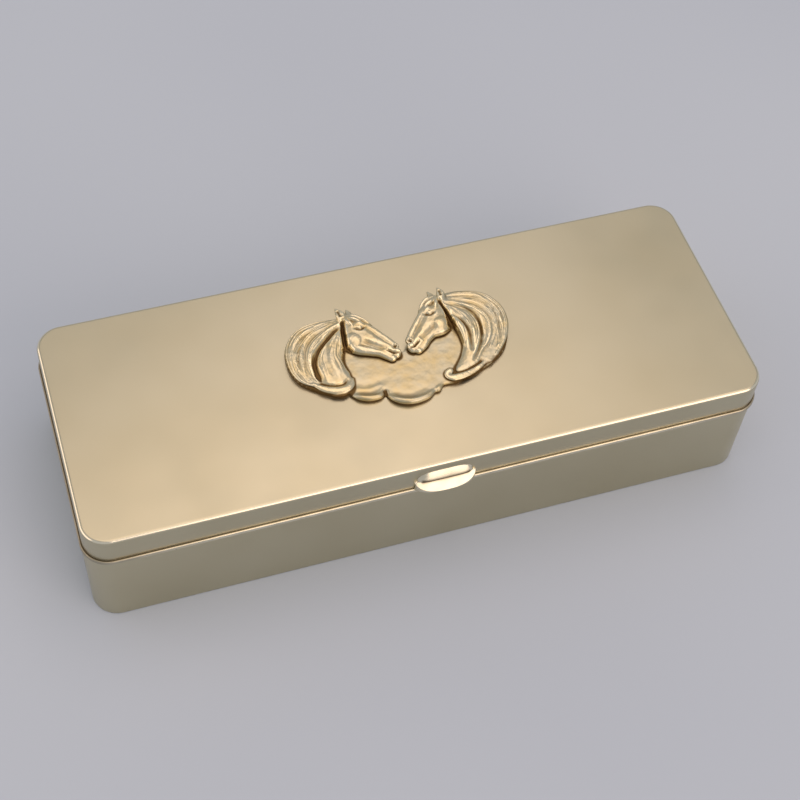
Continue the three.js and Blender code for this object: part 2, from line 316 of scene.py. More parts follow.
def satin():
    return the_material("satin_plated_brass", satin_plated_brass)


def polished():
    return the_material("polished_plated_brass", polished_plated_brass)


def cast_metal():
    return the_material("cast_relief_brass", cast_relief_brass)


def cedar(turned=False):
    name = "planed_cedar_across" if turned else "planed_cedar_along"
    return the_material(name, planed_cedar, name, turned)


# Shapes


def finished(bm, name, body, slot, material, *nodes, sharp=35, even=True):
    """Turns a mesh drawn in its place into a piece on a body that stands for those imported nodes."""
    bmesh.ops.remove_doubles(bm, verts=bm.verts, dist=SAME)
    bmesh.ops.dissolve_degenerate(bm, edges=bm.edges, dist=MERGED)
    bmesh.ops.recalc_face_normals(bm, faces=bm.faces)
    if bm.calc_volume(signed=True) < 0:
        bmesh.ops.reverse_faces(bm, faces=bm.faces)
    mesh = bpy.data.meshes.new(name)
    bm.to_mesh(mesh)
    bm.free()
    mesh.materials.append(material)
    mesh.shade_smooth()
    mesh.set_sharp_from_angle(angle=radians(sharp))
    piece = bpy.data.objects.new(name, mesh)
    bpy.context.scene.collection.objects.link(piece)
    if even:
        shading = piece.modifiers.new("Even shading", "WEIGHTED_NORMAL")
        shading.keep_sharp = True
    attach(piece, body)
    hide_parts(*nodes)
    return piece


def points_of(geometry):
    """The points among what an operator gives back."""
    return [g for g in geometry if isinstance(g, bmesh.types.BMVert)]


def everything(bm):
    """All of a mesh's points, edges and faces."""
    return [*bm.verts, *bm.edges, *bm.faces]


def moved_up(bm, faces, rise):
    """Pulls faces upwards into a solid."""
    pulled = bmesh.ops.extrude_face_region(bm, geom=faces)["geom"]
    bmesh.ops.translate(bm, vec=(0, 0, rise), verts=points_of(pulled))


def close_holes(bm):
    """Closes every open rim."""
    bmesh.ops.holes_fill(bm, edges=[e for e in bm.edges if e.is_boundary], sides=0)


def rounded_sheet(bm, inset, z):
    """A flat sheet with the box's rounded outline, that far inside its walls."""
    sizes = bpy.context.scene.box_shell
    corners = bmesh.ops.create_grid(bm, x_segments=1, y_segments=1, size=1)["verts"]
    bmesh.ops.scale(bm, vec=(HALF_X - inset, HALF_Y - inset, 1), verts=corners)
    bmesh.ops.translate(bm, vec=(0, 0, z), verts=corners)
    rounded_over(bm, corners, sizes.corner_radius - inset, sizes.corner_steps, "VERTICES")
    return list(bm.faces)


def slab(low_z, high_z, inset=0):
    """A solid sheet with the box's rounded outline."""
    bm = bmesh.new()
    moved_up(bm, rounded_sheet(bm, inset, low_z), high_z - low_z)
    return bm


def sharp_edges(bm, angle=30):
    """Edges where two faces meet at more than that angle."""
    return [e for e in bm.edges if len(e.link_faces) == 2 and e.calc_face_angle(0) > radians(angle)]


def edges_at(bm, z):
    """Sharp edges that lie at a height."""
    return [e for e in sharp_edges(bm) if all(abs(v.co.z - z) < SAME for v in e.verts)]


def off_wall(place):
    """How far outside the wall's outer face a place lies, in plan."""
    radius = bpy.context.scene.box_shell.corner_radius
    from_x = max(abs(place.x) - (HALF_X - radius), 0)
    from_y = max(abs(place.y) - (HALF_Y - radius), 0)
    return sqrt(from_x**2 + from_y**2) - radius


def rounded_over(bm, parts, radius, segments=4, affect="EDGES"):
    """Rounds those edges, or those corners of a flat sheet."""
    rounding = {"offset": radius, "segments": segments, "affect": affect, "profile": 0.5}
    bmesh.ops.bevel(bm, geom=parts, material=-1, clamp_overlap=True, **rounding)


def trimmed(bm, point, away):
    """Cuts off what lies beyond a plane and closes the cut."""
    plane = {"plane_co": point, "plane_no": away}
    bmesh.ops.bisect_plane(bm, geom=everything(bm), dist=MERGED, clear_outer=True, **plane)
    bmesh.ops.remove_doubles(bm, verts=bm.verts, dist=MERGED)
    close_holes(bm)


def wall_band(low_z, high_z, thickness, outset=0):
    """A band of sheet round the box, its outer face that far outside the walls."""
    bm = bmesh.new()
    sheet = rounded_sheet(bm, -outset, low_z)
    inset = {"thickness": thickness, "use_even_offset": True, "use_boundary": True}
    ring = bmesh.ops.inset_region(bm, faces=sheet, **inset)["faces"]
    bmesh.ops.delete(bm, geom=sheet, context="FACES")
    moved_up(bm, ring, high_z - low_z)
    return bm


def spun(profile, centre, axis, steps):
    """A closed solid spun from a profile whose two ends lie on the axis."""
    bm = bmesh.new()
    line = [bm.verts.new(point) for point in profile]
    edges = [bm.edges.new(pair) for pair in zip(line, line[1:])]
    around = {"cent": centre, "axis": axis, "angle": tau, "steps": steps}
    bmesh.ops.spin(bm, geom=line + edges, use_merge=True, **around)
    return bm


def places_of(mesh):
    """Where a mesh's points are."""
    places = np.empty(len(mesh.vertices) * 3)
    mesh.vertices.foreach_get("co", places)
    return places.reshape(-1, 3)


def mark_sunken(mesh, values):
    """Writes down how sunken each point is."""
    mark = mesh.attributes.get(SUNK) or mesh.attributes.new(SUNK, "FLOAT", "POINT")
    mark.data.foreach_set("value", np.asarray(values, np.float32))


# Shell operators


class BaseWall(bpy.types.Operator):
    """Build the base's bent wall, with a softened rim at the seam"""

    bl_idname = "table_box.base_wall"
    bl_label = "Base wall"

    def execute(self, context):
        sizes = context.scene.box_shell
        bm = wall_band(WALL_LOW.z, WALL_HIGH.z, sizes.wall)
        rounded_over(bm, edges_at(bm, WALL_HIGH.z), sizes.seam_round, segments=2)
        finished(bm, "wall_sheet", "base", "satin_shell", satin(), "base_wall")
        return {"FINISHED"}


class BasePlate(bpy.types.Operator):
    """Build the bottom sheet, rounded where it meets the table"""

    bl_idname = "table_box.base_plate"
    bl_label = "Bottom sheet"

    def execute(self, context):
        bm = slab(PLATE_LOW.z, PLATE_HIGH.z)
        rounded_over(bm, edges_at(bm, PLATE_LOW.z), context.scene.box_shell.foot_round)
        finished(bm, "bottom_sheet", "base", "satin_shell", satin(), "base_plate")
        return {"FINISHED"}


class RimBead(bpy.types.Operator):
    """Build the narrow bead under the seam, open at the hinge"""

    bl_idname = "table_box.rim_bead"
    bl_label = "Rim bead"

    # Share of the length, from the middle, left without painted shade, and how dark the painted shade at the
    # ends is
    UNSHADED = 0.55
    END_SHADE = 0.5
    # The hinge has this much room at each end, in millimetres
    HINGE_ROOM = 0.5

    def execute(self, context):
        rounding = context.scene.box_shell.bead_round
        stand = BEAD_HIGH.x - HALF_X
        bm = wall_band(BEAD_LOW.z, BEAD_HIGH.z, stand, stand)
        rims = edges_at(bm, BEAD_LOW.z) + edges_at(bm, BEAD_HIGH.z)
        rounded_over(bm, [e for e in rims if self.stands_out(e, stand)], rounding, segments=5)
        self.open_at_hinge(bm)
        bead = finished(bm, "rim_beading", "base", "polished_trim", polished(), "rim_bead")
        mark_sunken(bead.data, [self.painted_shade(v.co, stand - rounding) for v in bead.data.vertices])
        return {"FINISHED"}

    def stands_out(self, edge, stand):
        """Whether an edge is on the bead's outer side."""
        return off_wall((edge.verts[0].co + edge.verts[1].co) / 2) > stand / 2

    def painted_shade(self, place, ledge):
        """The bead's top under the seam is painted dark as the seam's shadow, and its ends are painted
        thinly darker as shade.
        """
        on_top = place.z > BEAD_HIGH.z - 0.01 * MM
        seam = min(max(1 - off_wall(place) / ledge, 0), 1) if on_top else 0
        near_end = min(max((abs(place.x) / HALF_X - self.UNSHADED) / (1 - self.UNSHADED), 0), 1)
        return max(seam, self.END_SHADE * near_end)

    def open_at_hinge(self, bm):
        """Takes out the stretch of bead where the hinge stands and closes its ends."""
        half = PIN_HIGH.x + self.HINGE_ROOM * MM
        for side in (-1, 1):
            plane = {"plane_co": (side * half, 0, 0), "plane_no": (side, 0, 0)}
            bmesh.ops.bisect_plane(bm, geom=everything(bm), **plane)
        middles = {f: f.calc_center_median() for f in bm.faces}
        behind = [f for f, middle in middles.items() if middle.y > 0 and abs(middle.x) < half]
        bmesh.ops.delete(bm, geom=behind, context="FACES")
        close_holes(bm)


class LidPlate(bpy.types.Operator):
    """Build the lid's flat top sheet with its rounded-over edge"""

    bl_idname = "table_box.lid_plate"
    bl_label = "Lid sheet"

    def execute(self, context):
        bm = slab(LID_LOW.z, LID_TOP)
        rounded_over(bm, edges_at(bm, LID_TOP), context.scene.box_shell.lid_round, segments=8)
        finished(bm, "lid_sheet", "lid", "satin_shell", satin(), "lid_plate")
        return {"FINISHED"}


class LidBand(bpy.types.Operator):
    """Build the lid's own low wall, with a softened rim at the seam"""

    bl_idname = "table_box.lid_band"
    bl_label = "Lid wall"

    def execute(self, context):
        sizes = context.scene.box_shell
        bm = wall_band(BAND_LOW.z, BAND_HIGH.z, sizes.wall)
        rounded_over(bm, edges_at(bm, BAND_LOW.z), sizes.seam_round, segments=2)
        finished(bm, "lid_wall", "lid", "satin_shell", satin(), "lid_band")
        return {"FINISHED"}


# Thumb lip


class ThumbLip(bpy.types.Operator):
    """Build the polished lip on the front of the lid: a half-moon shelf under a sloping bar"""

    bl_idname = "table_box.thumb_lip"
    bl_label = "Thumb lip"

    # Columns and rows of the grid that is drawn out into the casting
    ACROSS = 96
    UP = 90
    # How square-ended the half-moon, the bar's outline and the bar's ends are
    MOON_POWER = 2.6
    BAR_POWER = 4
    BAR_END_POWER = 6
    # How hollow the shelf is, how bowed the bar's slope is and how far the bar's underside turns back
    HOLLOW_POWER = 1.05
    BOW = 0.1
    UNDERSIDE = 0.9
    # Painted shade in the crease, in millimetres: its height over the crease, spread and room at the bar's
    # ends
    SHADE_UP = 0.2
    SHADE_SPREAD = 0.9
    SHADE_END = 0.5

    def execute(self, context):
        sizes = context.scene.box_lip
        front = -HALF_Y
        bm = bmesh.new()
        grid = bmesh.ops.create_grid(bm, x_segments=self.ACROSS, y_segments=self.UP, size=1)["verts"]
        middle = (LIP_LOW.x + LIP_HIGH.x) / 2
        half = (LIP_HIGH.x - LIP_LOW.x) / 2
        for v in grid:
            # The grid's columns crowd towards the ends, where the lip turns fastest
            across = sin(v.co.x * pi / 2)
            up = (v.co.y + 1) / 2
            z = LIP_LOW.z + up * (LIP_HIGH.z - LIP_LOW.z)
            v.co = (middle + half * across, front - self.stand(across * half, z, half, sizes), z)
        flat = [f for f in bm.faces if all(v.co.y > front - 0.01 * MM for v in f.verts)]
        bmesh.ops.delete(bm, geom=flat, context="FACES")
        # The rim is taken back to the lid's wall, so the lip is a closed casting
        rim = [e for e in bm.edges if e.is_boundary]
        for v in points_of(bmesh.ops.extrude_edge_only(bm, edges=rim)["geom"]):
            v.co.y = front
        close_holes(bm)
        lip = finished(bm, "thumb_catch", "lid", "polished_trim", polished(), "thumb_lip", sharp=50)
        mark_sunken(lip.data, self.painted_shade(places_of(lip.data), middle, sizes))
        return {"FINISHED"}

    def painted_shade(self, places, middle, sizes):
        """Painted shade along the crease between the lip and its bar."""
        across, _, z = places.T
        over = (z - LIP_LOW.z - sizes.crease_rise - self.SHADE_UP * MM) / (self.SHADE_SPREAD * MM)
        end = np.clip((sizes.bar_width / 2 - self.SHADE_END * MM - abs(across - middle)) / MM, 0, 1)
        return np.exp(-(over**2)) * end

    def stand(self, x, z, half, sizes):
        """How far the casting stands off the wall at a place along it and a height."""
        rim_z = LIP_LOW.z + sizes.lip_edge
        crease_z = LIP_LOW.z + sizes.crease_rise
        moon = (1 - min(abs(x) / half, 1) ** self.MOON_POWER) ** 0.5
        if z > crease_z:
            return self.bar_stand(x, z - crease_z, moon, sizes)
        # The half-moon's upper outline falls towards its ends
        own_crease = crease_z - sizes.crease_fall * (1 - moon)
        if z > own_crease:
            return sizes.backing * moon if abs(x) < sizes.bar_width / 2 else 0.0
        full = -HALF_Y - LIP_LOW.y
        down = (own_crease - z) / (crease_z - rim_z)
        scoop = sizes.backing + (full - sizes.backing) * down**self.HOLLOW_POWER
        undercut = sizes.undercut * (max(rim_z - z, 0) / sizes.lip_edge) ** 2
        return max(min(scoop, full * moon) - undercut * moon, 0.0)

    def bar_stand(self, x, rise, moon, sizes):
        """How far the bar stands off the wall: a leaf in outline that slopes back over the crease."""
        end = abs(x) / (sizes.bar_width / 2)
        if end >= 1:
            return 0.0
        tall = LIP_HIGH.z - LIP_LOW.z - sizes.bar_clear - sizes.crease_rise
        share = rise / (tall * sqrt(1 - end**self.BAR_POWER))
        if share >= 1:
            return 0.0
        belly = sizes.bar_belly
        if share > belly:
            # Almost straight, so that the whole slope mirrors the lamp in front
            lean = (share - belly) / (1 - belly)
            profile = 1 - (1 - self.BOW) * lean - self.BOW * lean**2
        else:
            profile = cos((belly - share) / belly * self.UNDERSIDE * pi / 2)
        bar = sizes.bar_stand * profile * sqrt(1 - end**self.BAR_END_POWER)
        foot = sizes.backing * moon * max(1 - share / belly, 0)
        return max(bar, foot)


# Hinge


class HingeKnuckles(bpy.types.Operator):
    """Build the hinge's tube knuckles, each with the foot that holds it to the base or the lid"""

    bl_idname = "table_box.hinge_knuckles"
    bl_label = "Hinge knuckles"

    # Steps round a knuckle, and the share of its radius over which the foot starts
    AROUND = 48
    FOOT_START = 0.08

    def execute(self, context):
        nodes = sorted(n for n in frame["nodes"] if "_knuckle_" in n)
        for node in nodes:
            body = node.split("_")[0]
            self.knuckle(context, node, body, 1 if body == "lid" else -1)
        return {"FINISHED"}

    def knuckle(self, context, node, body, side):
        sizes = context.scene.box_hinge
        low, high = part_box(node)
        radius = high.y - HINGE.y
        bm = bmesh.new()
        outer = bmesh.ops.create_circle(bm, segments=self.AROUND, radius=radius)["verts"]
        bmesh.ops.create_circle(bm, segments=self.AROUND, radius=sizes.bore)
        upright = Matrix.Rotation(pi / 2, 4, "Y")
        bmesh.ops.transform(bm, matrix=upright, verts=bm.verts)
        bmesh.ops.translate(bm, vec=(low.x, HINGE.y, HINGE.z), verts=bm.verts)
        self.draw_foot(outer, side, radius, sizes, high.z if side > 0 else low.z)
        bmesh.ops.bridge_loops(bm, edges=bm.edges)
        pulled = bmesh.ops.extrude_face_region(bm, geom=list(bm.faces))["geom"]
        bmesh.ops.translate(bm, vec=(high.x - low.x, 0, 0), verts=points_of(pulled))
        bmesh.ops.recalc_face_normals(bm, faces=bm.faces)
        ends = [e for e in sharp_edges(bm, 60) if self.is_end(e, low.x, high.x)]
        rounded_over(bm, ends, sizes.end_round, segments=2)
        finished(bm, node.replace("knuckle", "hinge_tube"), body, "satin_shell", satin(), node)

    def draw_foot(self, outline, side, radius, sizes, foot_z):
        """Draws the tube's quarter that faces the wall out into a foot that lies on the wall."""
        least = self.FOOT_START * radius
        for v in outline:
            towards_wall = HINGE.y - v.co.y
            away_from_seam = side * (v.co.z - HINGE.z)
            if towards_wall > least and away_from_seam > least:
                share = away_from_seam / radius
                start = HINGE.z + side * sizes.foot_clear
                v.co.y = HALF_Y
                v.co.z = start + share * (foot_z - start)

    def is_end(self, edge, low_x, high_x):
        """Whether an edge lies in one of the knuckle's end faces."""
        return any(all(abs(v.co.x - x) < SAME for v in edge.verts) for x in (low_x, high_x))


class HingePin(bpy.types.Operator):
    """Build the hinge pin with its riveted, domed ends"""

    bl_idname = "table_box.hinge_pin"
    bl_label = "Hinge pin"

    def execute(self, context):
        sizes = context.scene.box_hinge
        end = PIN_HIGH.x
        head = PIN_HIGH.z - HINGE.z
        dome = [(end - sizes.head_dome * (1 - cos(a)), head * sin(a)) for a in np.linspace(0, pi / 2, 7)]
        half = dome + [(end - sizes.head_dome, sizes.pin)]
        curve = half + [(-x, r) for x, r in reversed(half)]
        profile = [(x, HINGE.y, HINGE.z + r) for x, r in curve]
        bm = spun(profile, centre=HINGE, axis=(1, 0, 0), steps=32)
        finished(bm, "hinge_rivet_pin", "base", "polished_trim", polished(), "hinge_pin")
        return {"FINISHED"}


# Lining


class Lining(bpy.types.Operator):
    """Build the wood lining: a bottom board and four mitred side boards"""

    bl_idname = "table_box.lining"
    bl_label = "Wood lining"

    def execute(self, context):
        self.bottom(context)
        for name, side, turned in (
            ("front", (0, -1), False),
            ("right", (1, 0), True),
            ("back", (0, 1), False),
            ("left", (-1, 0), True),
        ):
            self.board(context, name, Vector((*side, 0)), turned)
        return {"FINISHED"}

    def bottom(self, context):
        bm = slab(LINER_LOW.z, LINER_HIGH.z, LINING_INSET)
        rounded_over(bm, sharp_edges(bm), context.scene.box_lining.arris, segments=2)
        finished(bm, "lining_bottom", "base", "cedar", cedar(), "liner_bottom")

    def board(self, context, name, side, turned):
        sizes = context.scene.box_lining
        bm = slab(BOARD_LOW.z, BOARD_HIGH.z, LINING_INSET)
        inner_corner = Vector((HALF_X, HALF_Y, 0)) - Vector((1, 1, 0)) * (LINING_INSET + sizes.board)
        trimmed(bm, side * abs(side.dot(inner_corner)), -side)
        for end in (-1, 1):
            along = Vector((-side.y, side.x, 0)) * end
            corner = side * abs(side.dot(inner_corner)) + along * abs(along.dot(inner_corner))
            trimmed(bm, corner - along * sizes.mitre_gap, along - side)
        bmesh.ops.recalc_face_normals(bm, faces=bm.faces)
        rounded_over(bm, sharp_edges(bm), sizes.arris, segments=2)
        finished(bm, "lining_" + name, "base", "cedar", cedar(turned), "liner_" + name)


# Relief: forms in millimetres, in plan from the box's middle, heights from the ground plate's top

GROUND_OUTLINE = [
    (-0.6, -17.7), (-5.2, -16.6), (-7.8, -14.2), (-8.9, -12.4), (-11.4, -13.4), (-15.4, -13.0),
    (-18.2, -10.8), (-19.2, -9.2), (-23.0, -8.9), (-28.0, -6.2), (-33.0, -1.4), (-34.8, 5), (-34, 11.6),
    (-30.4, 15.8), (-24, 17.4), (-16.4, 16.6), (-8.6, 11.2), (-3.4, 4.6), (0.8, 1.6), (4.6, 5.4),
    (9.8, 12), (13.6, 17.6), (20, 19.2), (29, 17), (34.4, 12), (36, 6.4), (34.6, 0), (31, -6.0),
    (25, -9.8), (19, -11.9), (16.4, -12.2), (13.6, -13.6), (10.2, -13.4), (8.8, -13.6), (7.4, -15.2),
    (5.4, -15.4), (3.4, -17.0),
]  # fmt: skip

# Swept forms are lists of (x, y, height, half width, half thickness)
LEFT_FORMS = [
    # Skull, from the poll to the lips
    [(-14.2, 16.6, 0.6, 1.8, 1.6), (-12.9, 14.2, 0.9, 3.9, 2.2), (-11.0, 11.0, 1.0, 5.0, 2.4),
     (-8.9, 8.2, 1.0, 4.5, 2.2), (-6.6, 5.7, 0.9, 3.4, 2.0), (-4.4, 3.5, 0.8, 2.8, 1.8),
     (-2.6, 1.7, 0.7, 2.5, 1.6), (-1.6, 0.4, 0.5, 1.6, 1.1)],
    # Lower jaw
    [(-14.6, 6.6, 0.8, 1.5, 1.6), (-12.2, 4.9, 1.0, 1.7, 1.7), (-9.2, 3.5, 0.9, 1.5, 1.5),
     (-6.6, 2.2, 0.8, 1.3, 1.4), (-4.6, 0.6, 0.7, 1.3, 1.2), (-3.4, -0.7, 0.5, 1.1, 1.0)],
    # Nose bone
    [(-9.6, 14.2, 1.8, 1.3, 1.2), (-6.6, 10.4, 2.0, 1.3, 1.1), (-4.3, 7.2, 1.9, 1.2, 1.0),
     (-2.4, 4.6, 1.6, 1.2, 1.0), (-1.2, 2.9, 1.2, 1.2, 1.0)],
    # Ears
    [(-11.9, 16.0, 1.2, 1.3, 1.2), (-11.6, 18.2, 1.4, 1.2, 1.0), (-11.9, 20.4, 1.2, 0.4, 0.4)],
    [(-14.2, 16.2, 1.6, 1.5, 1.3), (-14.3, 18.8, 2.0, 1.5, 1.1), (-15.1, 21.4, 1.6, 0.4, 0.4)],
    # Brow and cheekbone
    [(-11.6, 13.6, 2.3, 0.7, 0.7), (-9.9, 13.3, 2.9, 0.9, 0.7), (-8.4, 11.8, 2.5, 0.6, 0.6)],
    # Forelock: tufts that fall from the poll over the brow
    [(-13.6, 17.2, 2.2, 0.7, 0.8), (-10.8, 16.6, 2.8, 0.7, 0.7), (-8.0, 14.6, 2.5, 0.5, 0.6),
     (-6.0, 11.8, 2.1, 0.2, 0.3)],
    [(-13.4, 16.8, 2.3, 0.7, 0.8), (-11.4, 15.6, 3.0, 0.7, 0.7), (-9.4, 14.0, 2.9, 0.5, 0.6),
     (-8.2, 11.6, 2.3, 0.2, 0.3)],
    [(-13.6, 16.4, 2.3, 0.7, 0.8), (-12.8, 14.4, 3.0, 0.7, 0.7), (-12.2, 12.6, 2.9, 0.5, 0.6),
     (-12.6, 10.6, 2.3, 0.2, 0.3)],
    # Neck
    [(-16.0, 14.2, 0.2, 2.4, 1.9), (-18.2, 10.6, 0.3, 3.7, 2.2), (-21.2, 6.2, 0.2, 4.4, 2.3),
     (-22.4, 1.6, 0.1, 4.7, 2.1), (-22.0, -2.6, 0.0, 4.8, 1.7), (-21.6, -6.2, -0.2, 4.6, 1.0)],
    # Rolled rim at the neck's foot
    [(-29.2, -3.4, 0.2, 0.6, 0.5), (-26.6, -5.8, 0.2, 1.2, 0.7), (-23.4, -7.3, 0.2, 1.5, 0.9),
     (-20.4, -7.7, 0.2, 1.4, 0.9), (-18.3, -6.6, 0.2, 1.2, 0.7), (-17.4, -4.6, 0.1, 0.8, 0.5)],
    # Folds of the neck
    [(-18.4, 9.6, 1.1, 0.7, 0.8), (-20.2, 5.0, 1.3, 1.0, 0.9), (-20.0, 0.2, 1.0, 1.1, 0.8),
     (-19.0, -4.2, 0.4, 0.9, 0.6)],
    [(-20.6, 9.0, 1.4, 0.5, 0.7), (-23.4, 4.0, 1.4, 0.7, 0.7), (-24.0, -1.0, 0.9, 0.7, 0.6)],
]  # fmt: skip
RIGHT_FORMS = [
    # In the same order: skull, lower jaw, nose bone, two ears, brow and cheekbone
    [(17.0, 17.0, 0.6, 1.8, 1.6), (15.9, 14.4, 0.9, 3.6, 2.2), (13.7, 11.2, 1.0, 4.6, 2.4),
     (11.3, 8.4, 1.0, 4.1, 2.2), (8.9, 5.9, 0.9, 3.2, 2.0), (6.6, 3.9, 0.8, 2.7, 1.8),
     (4.8, 2.2, 0.7, 2.4, 1.6), (3.8, 1.0, 0.5, 1.6, 1.1)],
    [(16.6, 6.4, 0.8, 1.4, 1.5), (14.4, 5.4, 1.0, 1.6, 1.7), (11.6, 5.0, 0.9, 1.4, 1.5),
     (9.4, 3.4, 0.8, 1.2, 1.4), (7.6, 1.6, 0.7, 1.2, 1.2), (6.0, 0.3, 0.5, 1.0, 1.0)],
    [(12.2, 14.8, 1.8, 1.2, 1.2), (9.4, 11.3, 2.0, 1.2, 1.1), (6.8, 8.4, 1.9, 1.1, 1.0),
     (4.7, 5.9, 1.6, 1.1, 1.0), (3.3, 3.9, 1.2, 1.2, 1.0)],
    [(15.9, 16.6, 1.2, 1.3, 1.2), (15.4, 18.6, 1.4, 1.2, 1.0), (15.0, 20.8, 1.2, 0.4, 0.4)],
    [(18.0, 16.4, 1.6, 1.5, 1.3), (18.5, 18.8, 2.0, 1.4, 1.1), (18.4, 21.2, 1.6, 0.4, 0.4)],
    [(14.2, 13.4, 2.3, 0.7, 0.7), (12.4, 13.3, 2.9, 0.9, 0.7), (10.8, 12.0, 2.5, 0.6, 0.6)],
    # Forelock
    [(16.4, 17.6, 2.2, 0.7, 0.8), (13.6, 17.2, 2.8, 0.7, 0.7), (11.2, 15.6, 2.5, 0.5, 0.6),
     (9.4, 13.2, 2.1, 0.2, 0.3)],
    [(16.4, 17.0, 2.3, 0.7, 0.8), (14.2, 15.8, 3.0, 0.7, 0.7), (12.2, 14.6, 2.9, 0.5, 0.6),
     (10.8, 12.4, 2.3, 0.2, 0.3)],
    [(16.6, 16.8, 2.3, 0.7, 0.8), (15.6, 14.8, 3.0, 0.7, 0.7), (14.9, 13.0, 2.9, 0.5, 0.6),
     (15.1, 11.0, 2.3, 0.2, 0.3)],
    # Neck
    [(18.2, 14.2, 0.2, 2.6, 2.0), (21.0, 10.4, 0.3, 3.8, 2.2), (23.2, 6.0, 0.2, 4.4, 2.3),
     (23.2, 1.4, 0.1, 4.0, 2.1), (22.2, -2.8, 0.0, 3.5, 1.6), (19.6, -6.8, -0.1, 3.1, 1.1),
     (15.8, -9.8, -0.2, 2.2, 0.8)],
    # Rolled rim at the neck's foot
    [(25.4, -8.2, 0.0, 0.5, 0.4), (20.4, -10.6, 0.0, 1.2, 0.6), (16.0, -11.9, 0.1, 1.4, 0.8),
     (12.8, -12.2, 0.2, 1.3, 0.8), (11.2, -11.4, 0.2, 1.0, 0.7), (11.2, -10.2, 0.3, 1.0, 0.8),
     (12.4, -9.6, 0.3, 1.1, 0.8)],
    # Lit front edge of the neck
    [(19.2, 9.4, 1.6, 0.7, 0.8), (20.0, 6.0, 2.5, 1.1, 1.0), (20.9, 2.4, 1.7, 1.3, 1.0),
     (20.7, -1.4, 0.9, 1.1, 0.8), (19.6, -4.8, 0.3, 0.5, 0.5)],
    [(22.4, 7.6, 1.9, 0.6, 0.7), (23.8, 3.2, 1.9, 0.7, 0.7), (23.4, -1.4, 1.2, 0.6, 0.6),
     (21.2, -5.4, 0.5, 0.4, 0.5)],
]  # fmt: skip

# Rounded forms are (x, y, height, reach across, reach along, reach up)
LEFT_BLOBS = [
    (-12.6, 8.5, 0.4, 4.2, 4.0, 3.1),
    (-10.0, 11.9, 2.6, 0.9, 0.9, 0.8),
    (-1.5, 2.9, 1.5, 1.3, 1.2, 1.1),
    (-1.5, 1.0, 1.1, 1.5, 1.3, 1.2),
    (-3.3, -0.6, 0.6, 1.4, 1.2, 1.1),
]
RIGHT_BLOBS = [
    (14.3, 7.7, 0.4, 3.9, 3.7, 3.1),
    (12.3, 11.8, 2.6, 0.9, 0.9, 0.8),
    (3.5, 3.7, 1.5, 1.3, 1.2, 1.1),
    (3.5, 1.8, 1.1, 1.4, 1.3, 1.2),
    (5.4, 0.1, 0.6, 1.3, 1.1, 1.1),
]

# The mane falls between an inner and an outer line
LEFT_MANE = (
    [(-15.2, 15.2), (-18.8, 13.4), (-22.8, 10.2), (-26.0, 6.8), (-27.8, 2.8), (-27.4, -1.0), (-25.6, -3.8)],
    [(-15.6, 17.4), (-21.5, 17.6), (-28.3, 15.8), (-32.8, 10.8), (-33.6, 4.4), (-32.0, -1.0), (-28.4, -4.8)],
)
RIGHT_MANE = (
    [(18.4, 15.4), (22.0, 13.0), (26.0, 10.2), (28.2, 6.2), (27.4, 1.6), (25.2, -3.0), (21.6, -7.0)],
    [(18.0, 18.4), (24.2, 18.2), (30.8, 15.8), (34.4, 10.0), (34.6, 3.0), (32.0, -3.6), (26.8, -8.2)],
)

# The neck's two edges, between which its hairs run
LEFT_NECK = (
    [(-16.6, 12.0), (-17.4, 8.0), (-18.4, 4.0), (-17.4, 0.0), (-17.8, -5.0)],
    [(-18.6, 12.4), (-22.8, 8.6), (-25.6, 4.4), (-26.0, 0.4), (-26.0, -4.4)],
)
RIGHT_NECK = (
    [(19.0, 12.6), (19.2, 8.6), (20.0, 4.6), (19.8, 0.4), (16.4, -7.4)],
    [(21.4, 13.2), (25.6, 9.8), (26.8, 5.4), (25.8, 0.2), (20.4, -7.8)],
)

# Hollows are (half width, depth, [(x, y), ...])
LEFT_HOLLOWS = [
    (0.5, 0.9, [(-0.9, 3.1), (-2.0, 2.3)]),
    (0.35, 0.8, [(-0.6, 0.4), (-2.4, 0.6), (-4.4, 2.0)]),
    (0.4, 0.6, [(-11.8, 11.8), (-10.2, 10.9), (-8.6, 11.6)]),
    (0.5, 0.8, [(-14.4, 17.4), (-14.8, 20.4)]),
    (0.8, 0.5, [(-10.6, 6.6), (-7.4, 4.4), (-4.2, 2.4)]),
    (0.55, 2.2, [(-14.4, 16.2), (-15.3, 12.0), (-15.9, 7.4), (-15.6, 3.6)]),
    (0.9, 2.6, [(-15.9, 6.6), (-15.7, 5.4), (-15.2, 4.2)]),
    (0.6, 0.8, [(-16.0, 5.0), (-17.8, 2.6), (-17.2, -1.4)]),
    (0.4, 0.45, [(-27.4, -3.8), (-23.8, -5.7), (-20.6, -6.0), (-18.6, -4.4)]),
    (0.8, 1.2, [(-15.6, 14.8), (-20.6, 11.0), (-24.9, 7.2), (-27.2, 2.8), (-26.4, -2.6)]),
    (1.0, 0.4, [(-20.6, 10.2), (-23.2, 3.0), (-22.2, -4.4)]),
]
